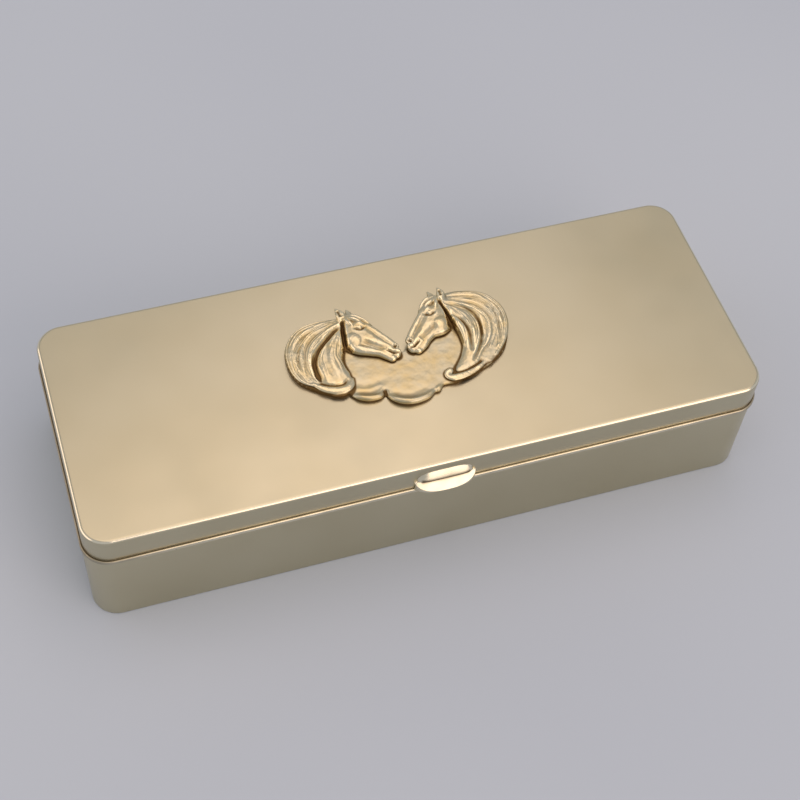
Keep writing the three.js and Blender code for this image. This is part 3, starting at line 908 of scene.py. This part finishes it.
RIGHT_HOLLOWS = [
    (0.5, 0.9, [(2.9, 3.9), (4.0, 3.1)]),
    (0.35, 0.8, [(2.6, 1.2), (4.4, 1.4), (6.4, 2.8)]),
    (0.4, 0.6, [(14.2, 11.6), (12.5, 10.8), (10.9, 11.5)]),
    (0.5, 0.8, [(18.3, 17.4), (18.4, 20.2)]),
    (0.8, 0.5, [(13.0, 7.2), (10.0, 5.2), (6.8, 3.2)]),
    (0.55, 2.2, [(16.9, 16.2), (17.9, 11.6), (18.2, 8.0), (17.8, 4.4)]),
    (0.8, 2.2, [(18.2, 8.4), (18.1, 7.0), (17.8, 5.6)]),
    (0.55, 0.8, [(19.2, 15.4), (24.0, 12.0), (26.8, 8.0), (26.6, 2.6), (24.6, -2.6), (20.8, -7.6)]),
    (0.6, 0.6, [(21.0, 8.6), (22.5, 2.4), (21.2, -4.6)]),
    (0.4, 0.45, [(22.6, -8.8), (17.0, -10.7), (13.0, -10.9)]),
]

# Each horse: forms, rounded forms, mane, neck, hollows
HORSES = {
    "left": (LEFT_FORMS, LEFT_BLOBS, LEFT_MANE, LEFT_NECK, LEFT_HOLLOWS),
    "right": (RIGHT_FORMS, RIGHT_BLOBS, RIGHT_MANE, RIGHT_NECK, RIGHT_HOLLOWS),
}

# Rims of the ground's scallops
GROUND_FORMS = [
    [(-18.9, -9.6, -0.5, 0.5, 0.5), (-16.9, -11.4, -0.2, 0.8, 0.8), (-13.8, -12.5, -0.2, 0.9, 0.9),
     (-10.9, -12.5, -0.2, 0.8, 0.8), (-9.3, -11.4, -0.5, 0.5, 0.5)],
    [(-8.4, -12.8, -0.5, 0.5, 0.5), (-6.6, -15.0, -0.1, 0.9, 0.9), (-2.8, -16.8, 0.0, 1.0, 1.0),
     (1.2, -16.7, -0.1, 0.9, 0.9), (4.6, -15.4, -0.3, 0.7, 0.7), (6.0, -13.8, -0.5, 0.4, 0.4)],
    [(5.8, -14.4, -0.5, 0.4, 0.5), (7.0, -14.4, -0.3, 0.6, 0.7), (8.8, -13.0, -0.5, 0.4, 0.5)],
]  # fmt: skip
GROUND_HOLLOWS = [
    # Soft waves inside the lower edge
    (1.4, 0.2, [(-18.0, -6.0), (-13.4, -7.6), (-6.8, -6.8)]),
    (1.0, 0.2, [(-17.4, -9.4), (-13.0, -10.5), (-9.4, -9.2)]),
    (1.1, 0.16, [(-7.4, -11.6), (-2.6, -14.3), (4.2, -12.8)]),
    (0.7, 0.9, [(-9.0, -13.0), (-8.9, -10.6)]),
]


def flowing(points, steps, closed=False):
    """A smooth line through given points, steps to each stretch."""
    known = [Vector(p) for p in points]
    if closed:
        known = [known[-1], *known, known[0], known[1]]
    else:
        known = [known[0], *known, known[-1]]
    line = []
    for a, b, c, d in zip(known, known[1:], known[2:], known[3:]):
        for t in (i / steps for i in range(steps)):
            square = 2 * a - 5 * b + 4 * c - d
            cube = 3 * b - a - 3 * c + d
            line.append(0.5 * (2 * b + (c - a) * t + square * t**2 + cube * t**3))
    return line if closed else [*line, known[-1]]


def swept(bm, stations, segments=14, steps=5):
    """A closed round form along stations of (x, y, height, half width, half thickness)."""
    line = round_ended(flowing(stations, steps))
    around = [(cos(tau * i / segments), sin(tau * i / segments)) for i in range(segments)]
    made = bmesh.ops.create_circle(bm, cap_ends=True, segments=segments, radius=1)["verts"]
    face = made[0].link_faces[0]
    start = list(face.edges)
    for i, station in enumerate(line):
        ahead = heading(line, i)
        across = Vector((-ahead.y, ahead.x, 0))
        if i:
            face = bmesh.ops.extrude_discrete_faces(bm, faces=[face])["faces"][0]
        middle = Vector(station[:3])
        for v, (side, up) in zip(face.verts, around):
            v.co = middle + across * side * station[3] + Vector((0, 0, up * station[4]))
    bmesh.ops.edgeloop_fill(bm, edges=start)


def heading(line, i):
    """Which way a line of stations runs, in plan."""
    before, after = line[max(i - 1, 0)], line[min(i + 1, len(line) - 1)]
    return Vector((after[0] - before[0], after[1] - before[1], 0)).normalized()


def round_ended(line):
    """The same stations with two more at each end, which close the form in a dome."""
    # A dome's reach as a share of the form's half width, and how far round it the two stations lie
    dome_reach, turns = 0.8, (pi / 4, pi / 2.2)
    ends = []
    for i, way in ((0, -1), (len(line) - 1, 1)):
        x, y, height, wide, thick = line[i]
        ahead = heading(line, i) * way
        dome = []
        for turn in turns:
            reach, share = sin(turn) * wide * dome_reach, cos(turn)
            place = (x + ahead.x * reach, y + ahead.y * reach, height)
            dome.append(Vector((*place, wide * share, thick * share)))
        ends.append(dome)
    return [*reversed(ends[0]), *line, *ends[1]]


def rounded_form(bm, x, y, height, across, along, up):
    """A closed ellipsoid."""
    place = Matrix.Translation((x, y, height)) @ Matrix.Diagonal((across, along, up, 1))
    bmesh.ops.create_icosphere(bm, subdivisions=3, radius=1, matrix=place)


def fused(bm, voxel_mm):
    """Melts overlapping closed forms into one skin, as a casting has."""
    clay = bpy.data.meshes.new("clay")
    bm.to_mesh(clay)
    lump = bpy.data.objects.new("clay", clay)
    bpy.context.scene.collection.objects.link(lump)
    melt = lump.modifiers.new("Melt", "REMESH")
    melt.mode = "VOXEL"
    melt.voxel_size = voxel_mm
    skin = bpy.data.meshes.new_from_object(lump.evaluated_get(bpy.context.evaluated_depsgraph_get()))
    bm.clear()
    bm.from_mesh(skin)
    bpy.data.objects.remove(lump)
    bpy.data.meshes.remove(clay)
    bpy.data.meshes.remove(skin)


def between(inner, outer, share):
    """The line that lies that share of the way from one line to another."""
    return [tuple(np.array(a) * (1 - share) + np.array(b) * share) for a, b in zip(inner, outer)]


def nearest_on(points, line):
    """How far each point lies from a line, in plan, and how far along it that is, from 0 to 1."""
    apart = np.full(len(points), np.inf)
    along = np.zeros(len(points))
    count = len(line) - 1
    for i in range(count):
        run = line[i + 1] - line[i]
        share = np.clip(((points - line[i]) @ run) / max(run @ run, 1e-9), 0, 1)
        reach = np.linalg.norm(points - line[i] - share[:, None] * run, axis=1)
        closer = reach < apart
        apart[closer] = reach[closer]
        along[closer] = (i + share[closer]) / count
    return apart, along


def pressed(places, hollows, floor):
    """Presses grooves that run out at their ends into the upper skin."""
    # How many half widths a groove is felt, how fast it deepens from its ends, what is left of it
    # there, and the share of the skin's height over the floor that it may take
    felt, deepening, end_depth, share = 3, 4, 0.05, 0.85
    plan = places[:, :2]
    depth = np.zeros(len(places))
    for half_width, deep, points in hollows:
        line = np.array([p[:2] for p in flowing(points, steps=5)])
        margin = felt * half_width
        inside = (plan > line.min(axis=0) - margin) & (plan < line.max(axis=0) + margin)
        near = np.flatnonzero(inside.all(axis=1))
        apart, along = nearest_on(plan[near], line)
        ends = np.sqrt(np.clip(np.minimum(along, 1 - along) * deepening + end_depth, 0, 1))
        depth[near] = np.maximum(depth[near], deep * ends * np.exp(-((apart / half_width) ** 2)))
    room = np.clip(places[:, 2] - floor, 0, None)
    places[:, 2] -= np.minimum(depth, share * room)


def averaging(mesh):
    """A function that gives each point of a skin the mean of its neighbours' values."""
    count = len(mesh.vertices)
    edges = np.empty(len(mesh.edges) * 2, int)
    mesh.edges.foreach_get("vertices", edges)
    a, b = edges.reshape(-1, 2).T
    ties = np.bincount(a, minlength=count) + np.bincount(b, minlength=count)

    def averaged(values, rounds):
        for _ in range(rounds):
            around = np.bincount(a, values[b], count) + np.bincount(b, values[a], count)
            values = around / np.maximum(ties, 1)
        return values

    return averaged


def sunkenness(mesh, oxide_shade_rise):
    """How far each point lies under its neighbours: 0 a high point, 0.5 open ground, 1 deep in a crease."""
    # A fine and a broad comparison: rounds that average the neighbours, rounds that soften the
    # result, the height difference in millimetres that counts as deep, and how much it weighs
    fine_rounds, fine_soften, fine_deep, fine_weight = 12, 2, 0.28, 0.5
    broad_rounds, broad_soften, broad_deep, broad_weight = 60, 4, 1.5, 0.35
    ground, foot_weight = 0.5, 0.45
    height = places_of(mesh)[:, 2] / MM
    averaged = averaging(mesh)
    fine = averaged(averaged(height, fine_rounds) - height, fine_soften) / fine_deep
    broad = averaged(averaged(height, broad_rounds) - height, broad_soften) / broad_deep
    # Oxide, and painted contact shade, where the casting meets what it lies on
    foot = foot_weight * np.sqrt(np.clip(1 - (height - height.min()) / (oxide_shade_rise / MM), 0, 1))
    fine, broad = fine_weight * np.clip(fine, -1, 1), broad_weight * np.clip(broad, -1, 1)
    return np.clip(ground + fine + broad + foot, 0, 1)


def uneven(place, amount):
    """The small ups and downs that hand modelling leaves in a casting, in two sizes."""
    broad_scale, small_scale, small_share = 0.45, 1.3, 0.5
    broad = solid_noise.noise(place * broad_scale)
    small = solid_noise.noise(place * small_scale)
    return amount * (broad + small_share * small)


def relief_piece(bm, name, node, hollows, floor, base_z, top_z, voxel, unevenness, oxide_shade_rise):
    """Fuses, smooths, grooves and places one part of the relief, flat on what carries it."""
    # How far under the floor the forms are cut off, and the share of that depth that is kept
    under_floor, pressed_flat = 0.5, 0.02
    even = {"factor": 0.5, "use_axis_x": True, "use_axis_y": True, "use_axis_z": True}
    trimmed(bm, (0, 0, floor - under_floor), (0, 0, -1))
    fused(bm, voxel / MM)
    for _ in range(bpy.context.scene.box_relief.smoothing):
        bmesh.ops.smooth_vert(bm, verts=bm.verts, **even)
    places = np.array([v.co for v in bm.verts])
    places[:, 2] += [uneven(v.co, unevenness / MM) for v in bm.verts]
    pressed(places, hollows, floor)
    # What lies under the floor is pressed almost flat onto it
    places[:, 2] -= floor
    places[:, 2] *= np.where(places[:, 2] < 0, pressed_flat, 1)
    rise = (top_z - base_z) / MM
    places[:, 2] *= min(rise / places[:, 2].max(), 1)
    for v, place in zip(bm.verts, places):
        v.co = place
    bmesh.ops.scale(bm, vec=(MM, MM, MM), verts=bm.verts)
    bmesh.ops.translate(bm, vec=(0, 0, base_z), verts=bm.verts)
    piece = finished(bm, name, "lid", "cast_relief", cast_metal(), node, sharp=80, even=False)
    mark_sunken(piece.data, sunkenness(piece.data, oxide_shade_rise))
    return piece


class ReliefGround(bpy.types.Operator):
    """Build the relief's ground plate with its scalloped lower edge"""

    bl_idname = "table_box.relief_ground"
    bl_label = "Relief ground"

    # How far the scallops' rims may stand over the plate, how dark and how wide the painted shade is round
    # the heads
    RIM_RISE = 0.9
    FOOT_SHADE = 0.42
    FOOT_SHADE_WIDTH = 0.45
    # Half width of the mane's outer line
    MANE_EDGE = 0.9

    def execute(self, context):
        sizes = context.scene.box_relief
        thick = (GROUND_HIGH.z - GROUND_LOW.z) / MM
        # The sheet starts a millimetre under the plate, to be cut off and pressed flat
        rim = thick + 1
        bm = bmesh.new()
        outline = [bm.verts.new((p.x, p.y, -rim)) for p in flowing(GROUND_OUTLINE, steps=5, closed=True)]
        sheet = bm.faces.new(outline)
        sheet.normal_update()
        moved_up(bm, [sheet], rim)
        for form in GROUND_FORMS:
            swept(bm, form)
        top = GROUND_HIGH.z + self.RIM_RISE * MM
        plate = relief_piece(
            bm, "relief_ground", "emblem_ground", GROUND_HOLLOWS, -thick, GROUND_LOW.z, top,
            sizes.ground_voxel, sizes.ground_unevenness, sizes.ground_foot_oxide_shade,
        )  # fmt: skip
        forms = []
        for heads, _, (_, outer), _, _ in HORSES.values():
            forms += [*heads, [(x, y, 0, self.MANE_EDGE, 0) for x, y in outer]]
        self.painted_foot_shade(plate.data, forms)
        return {"FINISHED"}

    def painted_foot_shade(self, mesh, forms):
        """Paints shade, in the oxide colour, on the ground along the foot of the heads, necks and manes."""
        plan = places_of(mesh)[:, :2] / MM
        clear = np.full(len(plan), np.inf)
        for form in forms:
            for x, y, _, reach, _ in flowing(form, steps=4):
                clear = np.minimum(clear, np.hypot(plan[:, 0] - x, plan[:, 1] - y) - reach)
        sunk = np.empty(len(plan), np.float32)
        mesh.attributes[SUNK].data.foreach_get("value", sunk)
        foot = 0.5 + self.FOOT_SHADE * np.exp(-((np.clip(clear, 0, None) / self.FOOT_SHADE_WIDTH) ** 2))
        mark_sunken(mesh, np.maximum(sunk, foot))


class Horse(bpy.types.Operator):
    """Build one horse's head, neck and mane"""

    bl_idname = "table_box.horse"
    bl_label = "Horse's head"

    side: bpy.props.EnumProperty(
        name="Side",
        description="Which of the two heads to build",
        items=[("left", "Left", "The head on the left"), ("right", "Right", "The head on the right")],
    )

    # Room under the CAD box's top, in millimetres
    TOP_ROOM = 0.02
    # The hair between the locks: least half width and half thickness in millimetres, how much it thins
    UNDERLAYER_WIDTH = 0.8
    UNDERLAYER_THICKNESS = 0.9
    UNDERLAYER_THINS = 0.4
    # How high the locks stand by the neck, how much lower outside, and the lift of every other one
    CROWN = 1.25
    CROWN_FALL = 0.6
    OVERLAP = 0.7
    # Ranges of the random draws
    LIFT = (-0.15, 0.15)
    WAVE = (0.6, 1.0)
    REACH = (0.84, 1.0)
    STRAND_SHIFT = (-0.15, 0.15)
    NECK_HAIR_SHIFT = (0.2, 0.8)
    # Half widths and depths of the grooves, in millimetres
    STRAND = 0.26
    STRAND_DEPTH = (0.25, 0.5)
    NECK_HAIR = 0.3
    NECK_HAIR_DEPTH = (0.12, 0.3)
    # How much of a lock's half width its grooves use
    STRAND_SPREAD = 0.75

    def execute(self, context):
        forms, blobs, mane, neck, hollows = HORSES[self.side]
        bm = bmesh.new()
        for form in forms:
            swept(bm, form)
        for blob in blobs:
            rounded_form(bm, *blob)
        self.underlayer(bm, mane)
        locks = self.locks(context, mane)
        for lock in locks:
            swept(bm, lock, steps=1)
        hollows = hollows + self.strands(context, locks) + self.neck_hairs(context, neck)
        name, node = f"{self.side}_horse_head", f"{self.side}_horse"
        top = CAD_BOX[1].z - self.TOP_ROOM * MM
        sizes = context.scene.box_relief
        relief_piece(
            bm, name, node, hollows, 0.0, GROUND_HIGH.z, top, sizes.voxel, sizes.unevenness, sizes.foot_oxide_shade
        )
        return {"FINISHED"}

    def underlayer(self, bm, mane):
        """A low broad body of hair that shows between the locks."""
        inner, outer = mane
        last = len(inner) - 1
        stations = []
        for k, ((x, y), a, b) in enumerate(zip(between(inner, outer, 0.5), inner, outer)):
            width = max(np.hypot(a[0] - b[0], a[1] - b[1]) / 2, self.UNDERLAYER_WIDTH)
            thickness = self.UNDERLAYER_THICKNESS * (1 - self.UNDERLAYER_THINS * k / last)
            stations.append((x, y, 0, width, thickness))
        swept(bm, stations)

    def locks(self, context, mane):
        """Waved, pointed locks of hair that overlap between the mane's inner and outer lines."""
        sizes = context.scene.box_relief
        draw = random.Random(7)
        locks = []
        for i in range(sizes.locks):
            share = i / (sizes.locks - 1)
            line = flowing([(*p, 0) for p in between(*mane, share)], steps=4)
            # Every other lock lies over its neighbours
            lift = self.OVERLAP * (i % 2) + draw.uniform(*self.LIFT)
            wave = draw.uniform(*self.WAVE) * sizes.wave / MM
            start = draw.uniform(0, tau)
            reach = draw.uniform(*self.REACH)
            # The mane falls away from the neck towards its outer line
            crown = self.CROWN - self.CROWN_FALL * share
            locks.append(self.lock(line, lift, wave, start, reach, crown))
        return locks

    def lock(self, line, lift, wave, start, reach, crown):
        """The stations of one lock along a line; t runs from its root to its tip."""
        # How often the lock waves, and which stretch of half a sine wave gives its swell
        turns, swell_root, swell_run = 1.7, 0.14, 0.66
        # Height at the least, without lift, for lift, and the share that the tip falls
        low, plain, lifted, fall = 0.1, 0.85, 0.6, 0.7
        # Half width and half thickness at the least, and half width for the swell
        narrow, thin, wide = 0.15, 0.3, 1.4
        last = len(line) - 1
        stations = []
        for k, p in enumerate(line):
            t = k / last / reach
            if t > 1:
                break
            ahead = (line[min(k + 1, last)] - line[max(k - 1, 0)]).normalized()
            aside = wave * sin(start + tau * turns * t) * t
            swell = sin(pi * (swell_root + swell_run * t))
            point = 1 - t**4
            height = low + crown * (plain + lifted * lift) * (1 - fall * t**2)
            x, y = p.x - ahead.y * aside, p.y + ahead.x * aside
            stations.append((x, y, height, narrow + wide * swell * point, thin + swell * point))
        return stations

    def strands(self, context, locks):
        """Fine grooves that run with each lock."""
        count = context.scene.box_relief.strands
        draw = random.Random(11)
        lines = []
        for lock in locks:
            for i in range(count):
                side = (i + 0.5) / count * 2 - 1 + draw.uniform(*self.STRAND_SHIFT)
                depth = draw.uniform(*self.STRAND_DEPTH)
                lines.append((self.STRAND, depth, self.beside(lock, side * self.STRAND_SPREAD)))
        return lines

    def neck_hairs(self, context, neck):
        """Short shallow grooves along the neck between its two edges."""
        count = context.scene.box_relief.neck_hairs
        draw = random.Random(23)
        lines = []
        for i in range(count):
            share = (i + draw.uniform(*self.NECK_HAIR_SHIFT)) / count
            line = flowing([(*p, 0) for p in between(*neck, share)], steps=4)
            first = draw.randrange(0, len(line) // 3)
            last = draw.randrange(2 * len(line) // 3, len(line))
            depth = draw.uniform(*self.NECK_HAIR_DEPTH)
            lines.append((self.NECK_HAIR, depth, [(p.x, p.y) for p in line[first:last]]))
        return lines

    def beside(self, lock, side):
        """A line along a lock, that share of its half width to one side."""
        line = []
        for (x, y, _, half_width, _), after in zip(lock, lock[1:]):
            ahead = Vector((after[0] - x, after[1] - y)).normalized()
            line.append((x - ahead.y * side * half_width, y + ahead.x * side * half_width))
        return line


class ReliefPegs(bpy.types.Operator):
    """Build the pegs that hold the relief, with their domed heads inside the lid"""

    bl_idname = "table_box.relief_pegs"
    bl_label = "Relief pegs"

    def execute(self, context):
        for node in sorted(n for n in frame["nodes"] if n.startswith("emblem_peg_")):
            self.peg(context, node)
        return {"FINISHED"}

    def peg(self, context, node):
        sizes = context.scene.box_relief
        low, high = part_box(node)
        middle = (low + high) / 2
        head = (high.x - low.x) / 2
        dome = LID_LOW.z - low.z
        curve = [(head * sin(a), LID_LOW.z - dome * cos(a)) for a in np.linspace(0, pi / 2, 8)]
        curve += [(sizes.peg, LID_LOW.z), (sizes.peg, high.z), (0, high.z)]
        profile = [(middle.x + r, middle.y, z) for r, z in curve]
        bm = spun(profile, centre=(middle.x, middle.y, 0), axis=(0, 0, 1), steps=36)
        name = node.replace("emblem_peg", "relief_rivet")
        finished(bm, name, "lid", "polished_trim", polished(), node)


# Stage

# Softboxes: name, place in metres, width, height and the setting that gives its power. The overhead one
# is what the lid mirrors, the front one what the lip and the front edges mirror, the left one what the
# lid's left edge mirrors
SOFTBOXES = (
    ("overhead_softbox", (0.17, 0.07, 1.25), 1.54, 1.2, "key_power"),
    ("front_softbox", (0.53, -1.08, 0.7), 1.2, 0.95, "front_power"),
    ("left_softbox", (-1.35, 0.25, 0.5), 1.8, 0.8, "left_power"),
)
BOX_MIDDLE = Vector((0, 0, 0.02))

# Where the photograph was taken from, which way it looks and which way its right side points
CAMERA_PLACE = (-0.1106, -0.2717, 0.4279)
CAMERA_LOOK = Vector((0.2213, 0.5400, -0.8121)).normalized()
CAMERA_RIGHT = Vector((0.9509, -0.3043, 0.0568)).normalized()


class Stage(bpy.types.Operator):
    """Set up the pale floor, the soft studio light and the camera"""

    bl_idname = "table_box.stage"
    bl_label = "Stage"

    # Half the floor's side, in metres
    FLOOR_REACH = 12

    def execute(self, context):
        self.floor(context)
        self.lamps(context)
        self.surroundings(context)
        self.camera(context)
        context.scene.view_settings.view_transform = "Standard"
        return {"FINISHED"}

    def floor(self, context):
        bm = bmesh.new()
        bmesh.ops.create_grid(bm, x_segments=8, y_segments=8, size=self.FLOOR_REACH)
        mesh = bpy.data.meshes.new("floor")
        bm.to_mesh(mesh)
        bm.free()
        mesh.materials.append(backdrop_paper())
        floor = bpy.data.objects.new("floor", mesh)
        context.scene.collection.objects.link(floor)

    def lamps(self, context):
        stage = context.scene.box_stage
        for name, place, across, tall, power in SOFTBOXES:
            lamp = bpy.data.lights.new(name, "AREA")
            lamp.shape = "RECTANGLE"
            lamp.size = across
            lamp.size_y = tall
            lamp.energy = getattr(stage, power)
            lamp.color = stage.lamp
            holder = bpy.data.objects.new(name, lamp)
            holder.location = place
            aim = BOX_MIDDLE - holder.location
            holder.rotation_euler = aim.to_track_quat("-Z", "Y").to_euler()
            context.scene.collection.objects.link(holder)

    def surroundings(self, context):
        stage = context.scene.box_stage
        world = bpy.data.worlds.new("studio")
        world.use_nodes = True
        tree = world.node_tree
        tree.nodes.clear()
        values = {"Color": (*stage.room, 1), "Strength": stage.room_strength}
        room = add_node(tree, "ShaderNodeBackground", values)
        add_node(tree, "ShaderNodeOutputWorld", links={"Surface": room.outputs["Background"]})
        context.scene.world = world

    def camera(self, context):
        lens = bpy.data.cameras.new("camera")
        lens.lens = context.scene.box_stage.lens
        lens.sensor_width = 36
        lens.clip_start = 0.01
        camera = bpy.data.objects.new("camera", lens)
        up = CAMERA_RIGHT.cross(CAMERA_LOOK)
        turn = Matrix((CAMERA_RIGHT, up, -CAMERA_LOOK)).transposed().to_4x4()
        camera.matrix_world = Matrix.Translation(CAMERA_PLACE) @ turn
        context.scene.collection.objects.link(camera)
        context.scene.camera = camera


# Settings


def length(name, description, default_mm):
    """A length setting, given in millimetres and kept in metres."""
    return FloatProperty(name=name, description=description, default=default_mm * MM, unit="LENGTH", min=0)


def number(name, description, default, low=0, high=100):
    """A plain number setting."""
    return FloatProperty(name=name, description=description, default=default, min=low, max=high)


def whole(name, description, default, low=0):
    """A whole number setting."""
    return IntProperty(name=name, description=description, default=default, min=low)


def colour(name, description, hex_colour):
    """A colour setting from an sRGB hex value."""
    return FloatVectorProperty(
        name=name, description=description, default=linear(hex_colour), subtype="COLOR", min=0, max=1
    )


class ShellSizes(bpy.types.PropertyGroup):
    """Sizes of the sheet metal"""

    wall: length("Wall", "Thickness of the bent walls", 1.0)
    corner_radius: length("Corner radius", "Radius of the box's corners in plan", 8.0)
    corner_steps: whole("Corner steps", "Faces round each corner", 24, low=4)
    seam_round: length("Seam rounding", "Rounding of the two rims that meet at the seam", 0.3)
    foot_round: length("Foot rounding", "Rounding of the bottom edge", 0.5)
    bead_round: length("Bead rounding", "Rounding of the bead's edges", 0.3)
    lid_round: length("Lid rounding", "Rounding of the lid's top edge", 1.18)


class LipSizes(bpy.types.PropertyGroup):
    """Sizes of the thumb lip"""

    lip_edge: length("Lip edge", "Height of the lip's front edge", 0.8)
    crease_rise: length("Crease height", "Height of the crease over the lip's underside", 3.5)
    crease_fall: length("Crease fall", "How far the crease falls towards the lip's ends", 0.5)
    backing: length("Backing", "Thickness of the casting at the crease", 0.5)
    undercut: length("Undercut", "How far the lip's underside draws back", 0.35)
    bar_width: length("Bar width", "Length of the rounded bar", 17.4)
    bar_stand: length("Bar stand-off", "How far the rounded bar stands off the lid", 1.8)
    bar_clear: length("Bar clearance", "Room over the bar, up to the casting's highest point", 0.5)
    bar_belly: number("Bar belly", "Height share at which the bar stands out most", 0.2, 0.1, 0.9)


class HingeSizes(bpy.types.PropertyGroup):
    """Sizes of the hinge"""

    bore: length("Bore", "Radius of the hole in the knuckles", 1.1)
    pin: length("Pin", "Radius of the pin", 0.8)
    head_dome: length("Rivet head", "Thickness of the pin's riveted ends", 0.5)
    foot_clear: length("Foot clearance", "Gap between the seam and a knuckle's foot", 0.3)
    end_round: length("End rounding", "Rounding of the knuckles' ends", 0.12)


class LiningSizes(bpy.types.PropertyGroup):
    """Sizes of the wood lining"""

    board: length("Board", "Thickness of the side boards", 3.0)
    arris: length("Softened edge", "Rounding of the boards' edges", 0.25)
    mitre_gap: length("Mitre gap", "Half the gap that shows at a mitre", 0.03)


class ReliefSizes(bpy.types.PropertyGroup):
    """Sizes of the relief"""

    voxel: length("Fineness", "Size of the smallest detail kept in the casting", 0.2)
    ground_voxel: length("Ground fineness", "Size of the smallest detail kept in the ground plate", 0.3)
    unevenness: length("Unevenness", "Ups and downs left by hand modelling", 0.08)
    ground_unevenness: length("Ground unevenness", "Ups and downs of the ground plate", 0.05)
    # These two reach heights carry oxide and painted contact shade together
    foot_oxide_shade: length("Oxide", "How far up oxide is left round the heads", 0.45)
    ground_foot_oxide_shade: length("Ground oxide", "How far up oxide is left round the ground plate", 0.95)
    smoothing: whole("Smoothing", "Rounds of smoothing", 3)
    locks: whole("Locks", "Locks of hair in each mane", 7, low=2)
    wave: length("Wave", "How far the locks wave to the side", 0.7)
    strands: whole("Strands", "Grooves to each lock", 4, low=1)
    neck_hairs: whole("Neck hairs", "Grooves along each neck", 9)
    peg: length("Peg", "Radius of the pegs under the relief", 1.0)


class Finishes(bpy.types.PropertyGroup):
    """Colours and roughness of the finishes"""

    satin: colour("Satin", "The shell's satin plating", "#CBC4AA")
    satin_deep: colour("Satin, deeper", "The satin plating where it is rubbed more", "#C4BCA0")
    satin_roughness: number("Satin roughness", "Roughness of the satin plating", 0.3, high=1)
    # The band that this smooths is the lid edge's painted highlight
    edge_shine: number("Edge shine", "How much smoother the lid's rubbed edge is", 0.14, high=0.3)
    # This colour is also painted on the lid's rounded edge as a highlight
    polished: colour("Polished", "The bright plating of the bead and the thumb lip", "#F2EAD2")
    # Painted shade in the lip's crease, on the bead's ledge under the seam and at the bead's ends
    painted_crease_shade: colour("Old polish", "Dirt left in the thumb lip's crease and on the bead", "#4F4129")
    relief: colour("Relief", "The cast relief", "#D2BF90")
    # Lighter colour on the high points: rubbed metal, and painted highlight
    relief_rubbed_highlight: colour("Relief, rubbed", "High points of the relief", "#F8EAC6")
    # Also used as painted contact shade round the heads and at the castings' foot
    relief_deep: colour("Relief, hollows", "Oxide in the relief's hollows", "#745C38")
    relief_roughness: number("Relief roughness", "Roughness of the cast metal", 0.34, high=1)
    cedar_pale: colour("Cedar, pale", "Early wood of the lining", "#B98A5C")
    cedar_deep: colour("Cedar, deep", "Late wood of the lining", "#93572F")
    cedar_fibre: colour("Cedar fibre", "Fine dark fibres of the lining", "#6E3F22")


class StageSettings(bpy.types.PropertyGroup):
    """Floor, light and camera"""

    paper: colour("Paper", "The floor", "#BFC9D5")
    paper_shade: colour("Paper, shaded", "Softly darker stretches of the floor", "#B9C3D0")
    paper_far: colour("Paper, far", "The floor out of the lamps' reach", "#FDFCFA")
    lamp: colour("Lamps", "Colour of the lamps", "#FFE3CE")
    room: colour("Room", "Light from all round", "#F8F9FF")
    room_strength: number("Room strength", "Strength of the room light", 0.5)
    key_power: number("Overhead lamp", "Power in watts", 6.65)
    front_power: number("Front lamp", "Power in watts", 5.8)
    left_power: number("Left lamp", "Power in watts", 4.3)
    lens: number("Lens", "Focal length in millimetres", 71.15)


class BoxPanel(bpy.types.Panel):
    """Lists the pieces in the 3D view's sidebar"""

    bl_idname = "VIEW3D_PT_table_box"
    bl_label = "Table box"
    bl_space_type = "VIEW_3D"
    bl_region_type = "UI"
    bl_category = "Table box"

    def draw(self, context):
        for operator in OPERATORS:
            self.layout.operator(operator.bl_idname)
        for group in GROUPS:
            settings = getattr(context.scene, group)
            for name in settings.__annotations__:
                self.layout.prop(settings, name)


OPERATORS = (
    Stage,
    BaseWall,
    BasePlate,
    RimBead,
    LidPlate,
    LidBand,
    ThumbLip,
    HingeKnuckles,
    HingePin,
    Lining,
    ReliefGround,
    Horse,
    ReliefPegs,
)
GROUPS = {
    "box_shell": ShellSizes,
    "box_lip": LipSizes,
    "box_hinge": HingeSizes,
    "box_lining": LiningSizes,
    "box_relief": ReliefSizes,
    "box_finish": Finishes,
    "box_stage": StageSettings,
}


def register():
    for cls in (*GROUPS.values(), *OPERATORS, BoxPanel):
        bpy.utils.register_class(cls)
    for name, group in GROUPS.items():
        setattr(bpy.types.Scene, name, PointerProperty(type=group))


def unregister():
    for name in GROUPS:
        delattr(bpy.types.Scene, name)
    for cls in reversed((*GROUPS.values(), *OPERATORS, BoxPanel)):
        bpy.utils.unregister_class(cls)


def main():
    """Builds the whole box."""
    register()
    bpy.ops.table_box.stage()
    bpy.ops.table_box.base_wall()
    bpy.ops.table_box.base_plate()
    bpy.ops.table_box.rim_bead()
    bpy.ops.table_box.lid_plate()
    bpy.ops.table_box.lid_band()
    bpy.ops.table_box.thumb_lip()
    bpy.ops.table_box.hinge_knuckles()
    bpy.ops.table_box.hinge_pin()
    bpy.ops.table_box.lining()
    bpy.ops.table_box.relief_ground()
    bpy.ops.table_box.horse(side="left")
    bpy.ops.table_box.horse(side="right")
    bpy.ops.table_box.relief_pegs()


if __name__ == "__main__":
    main()
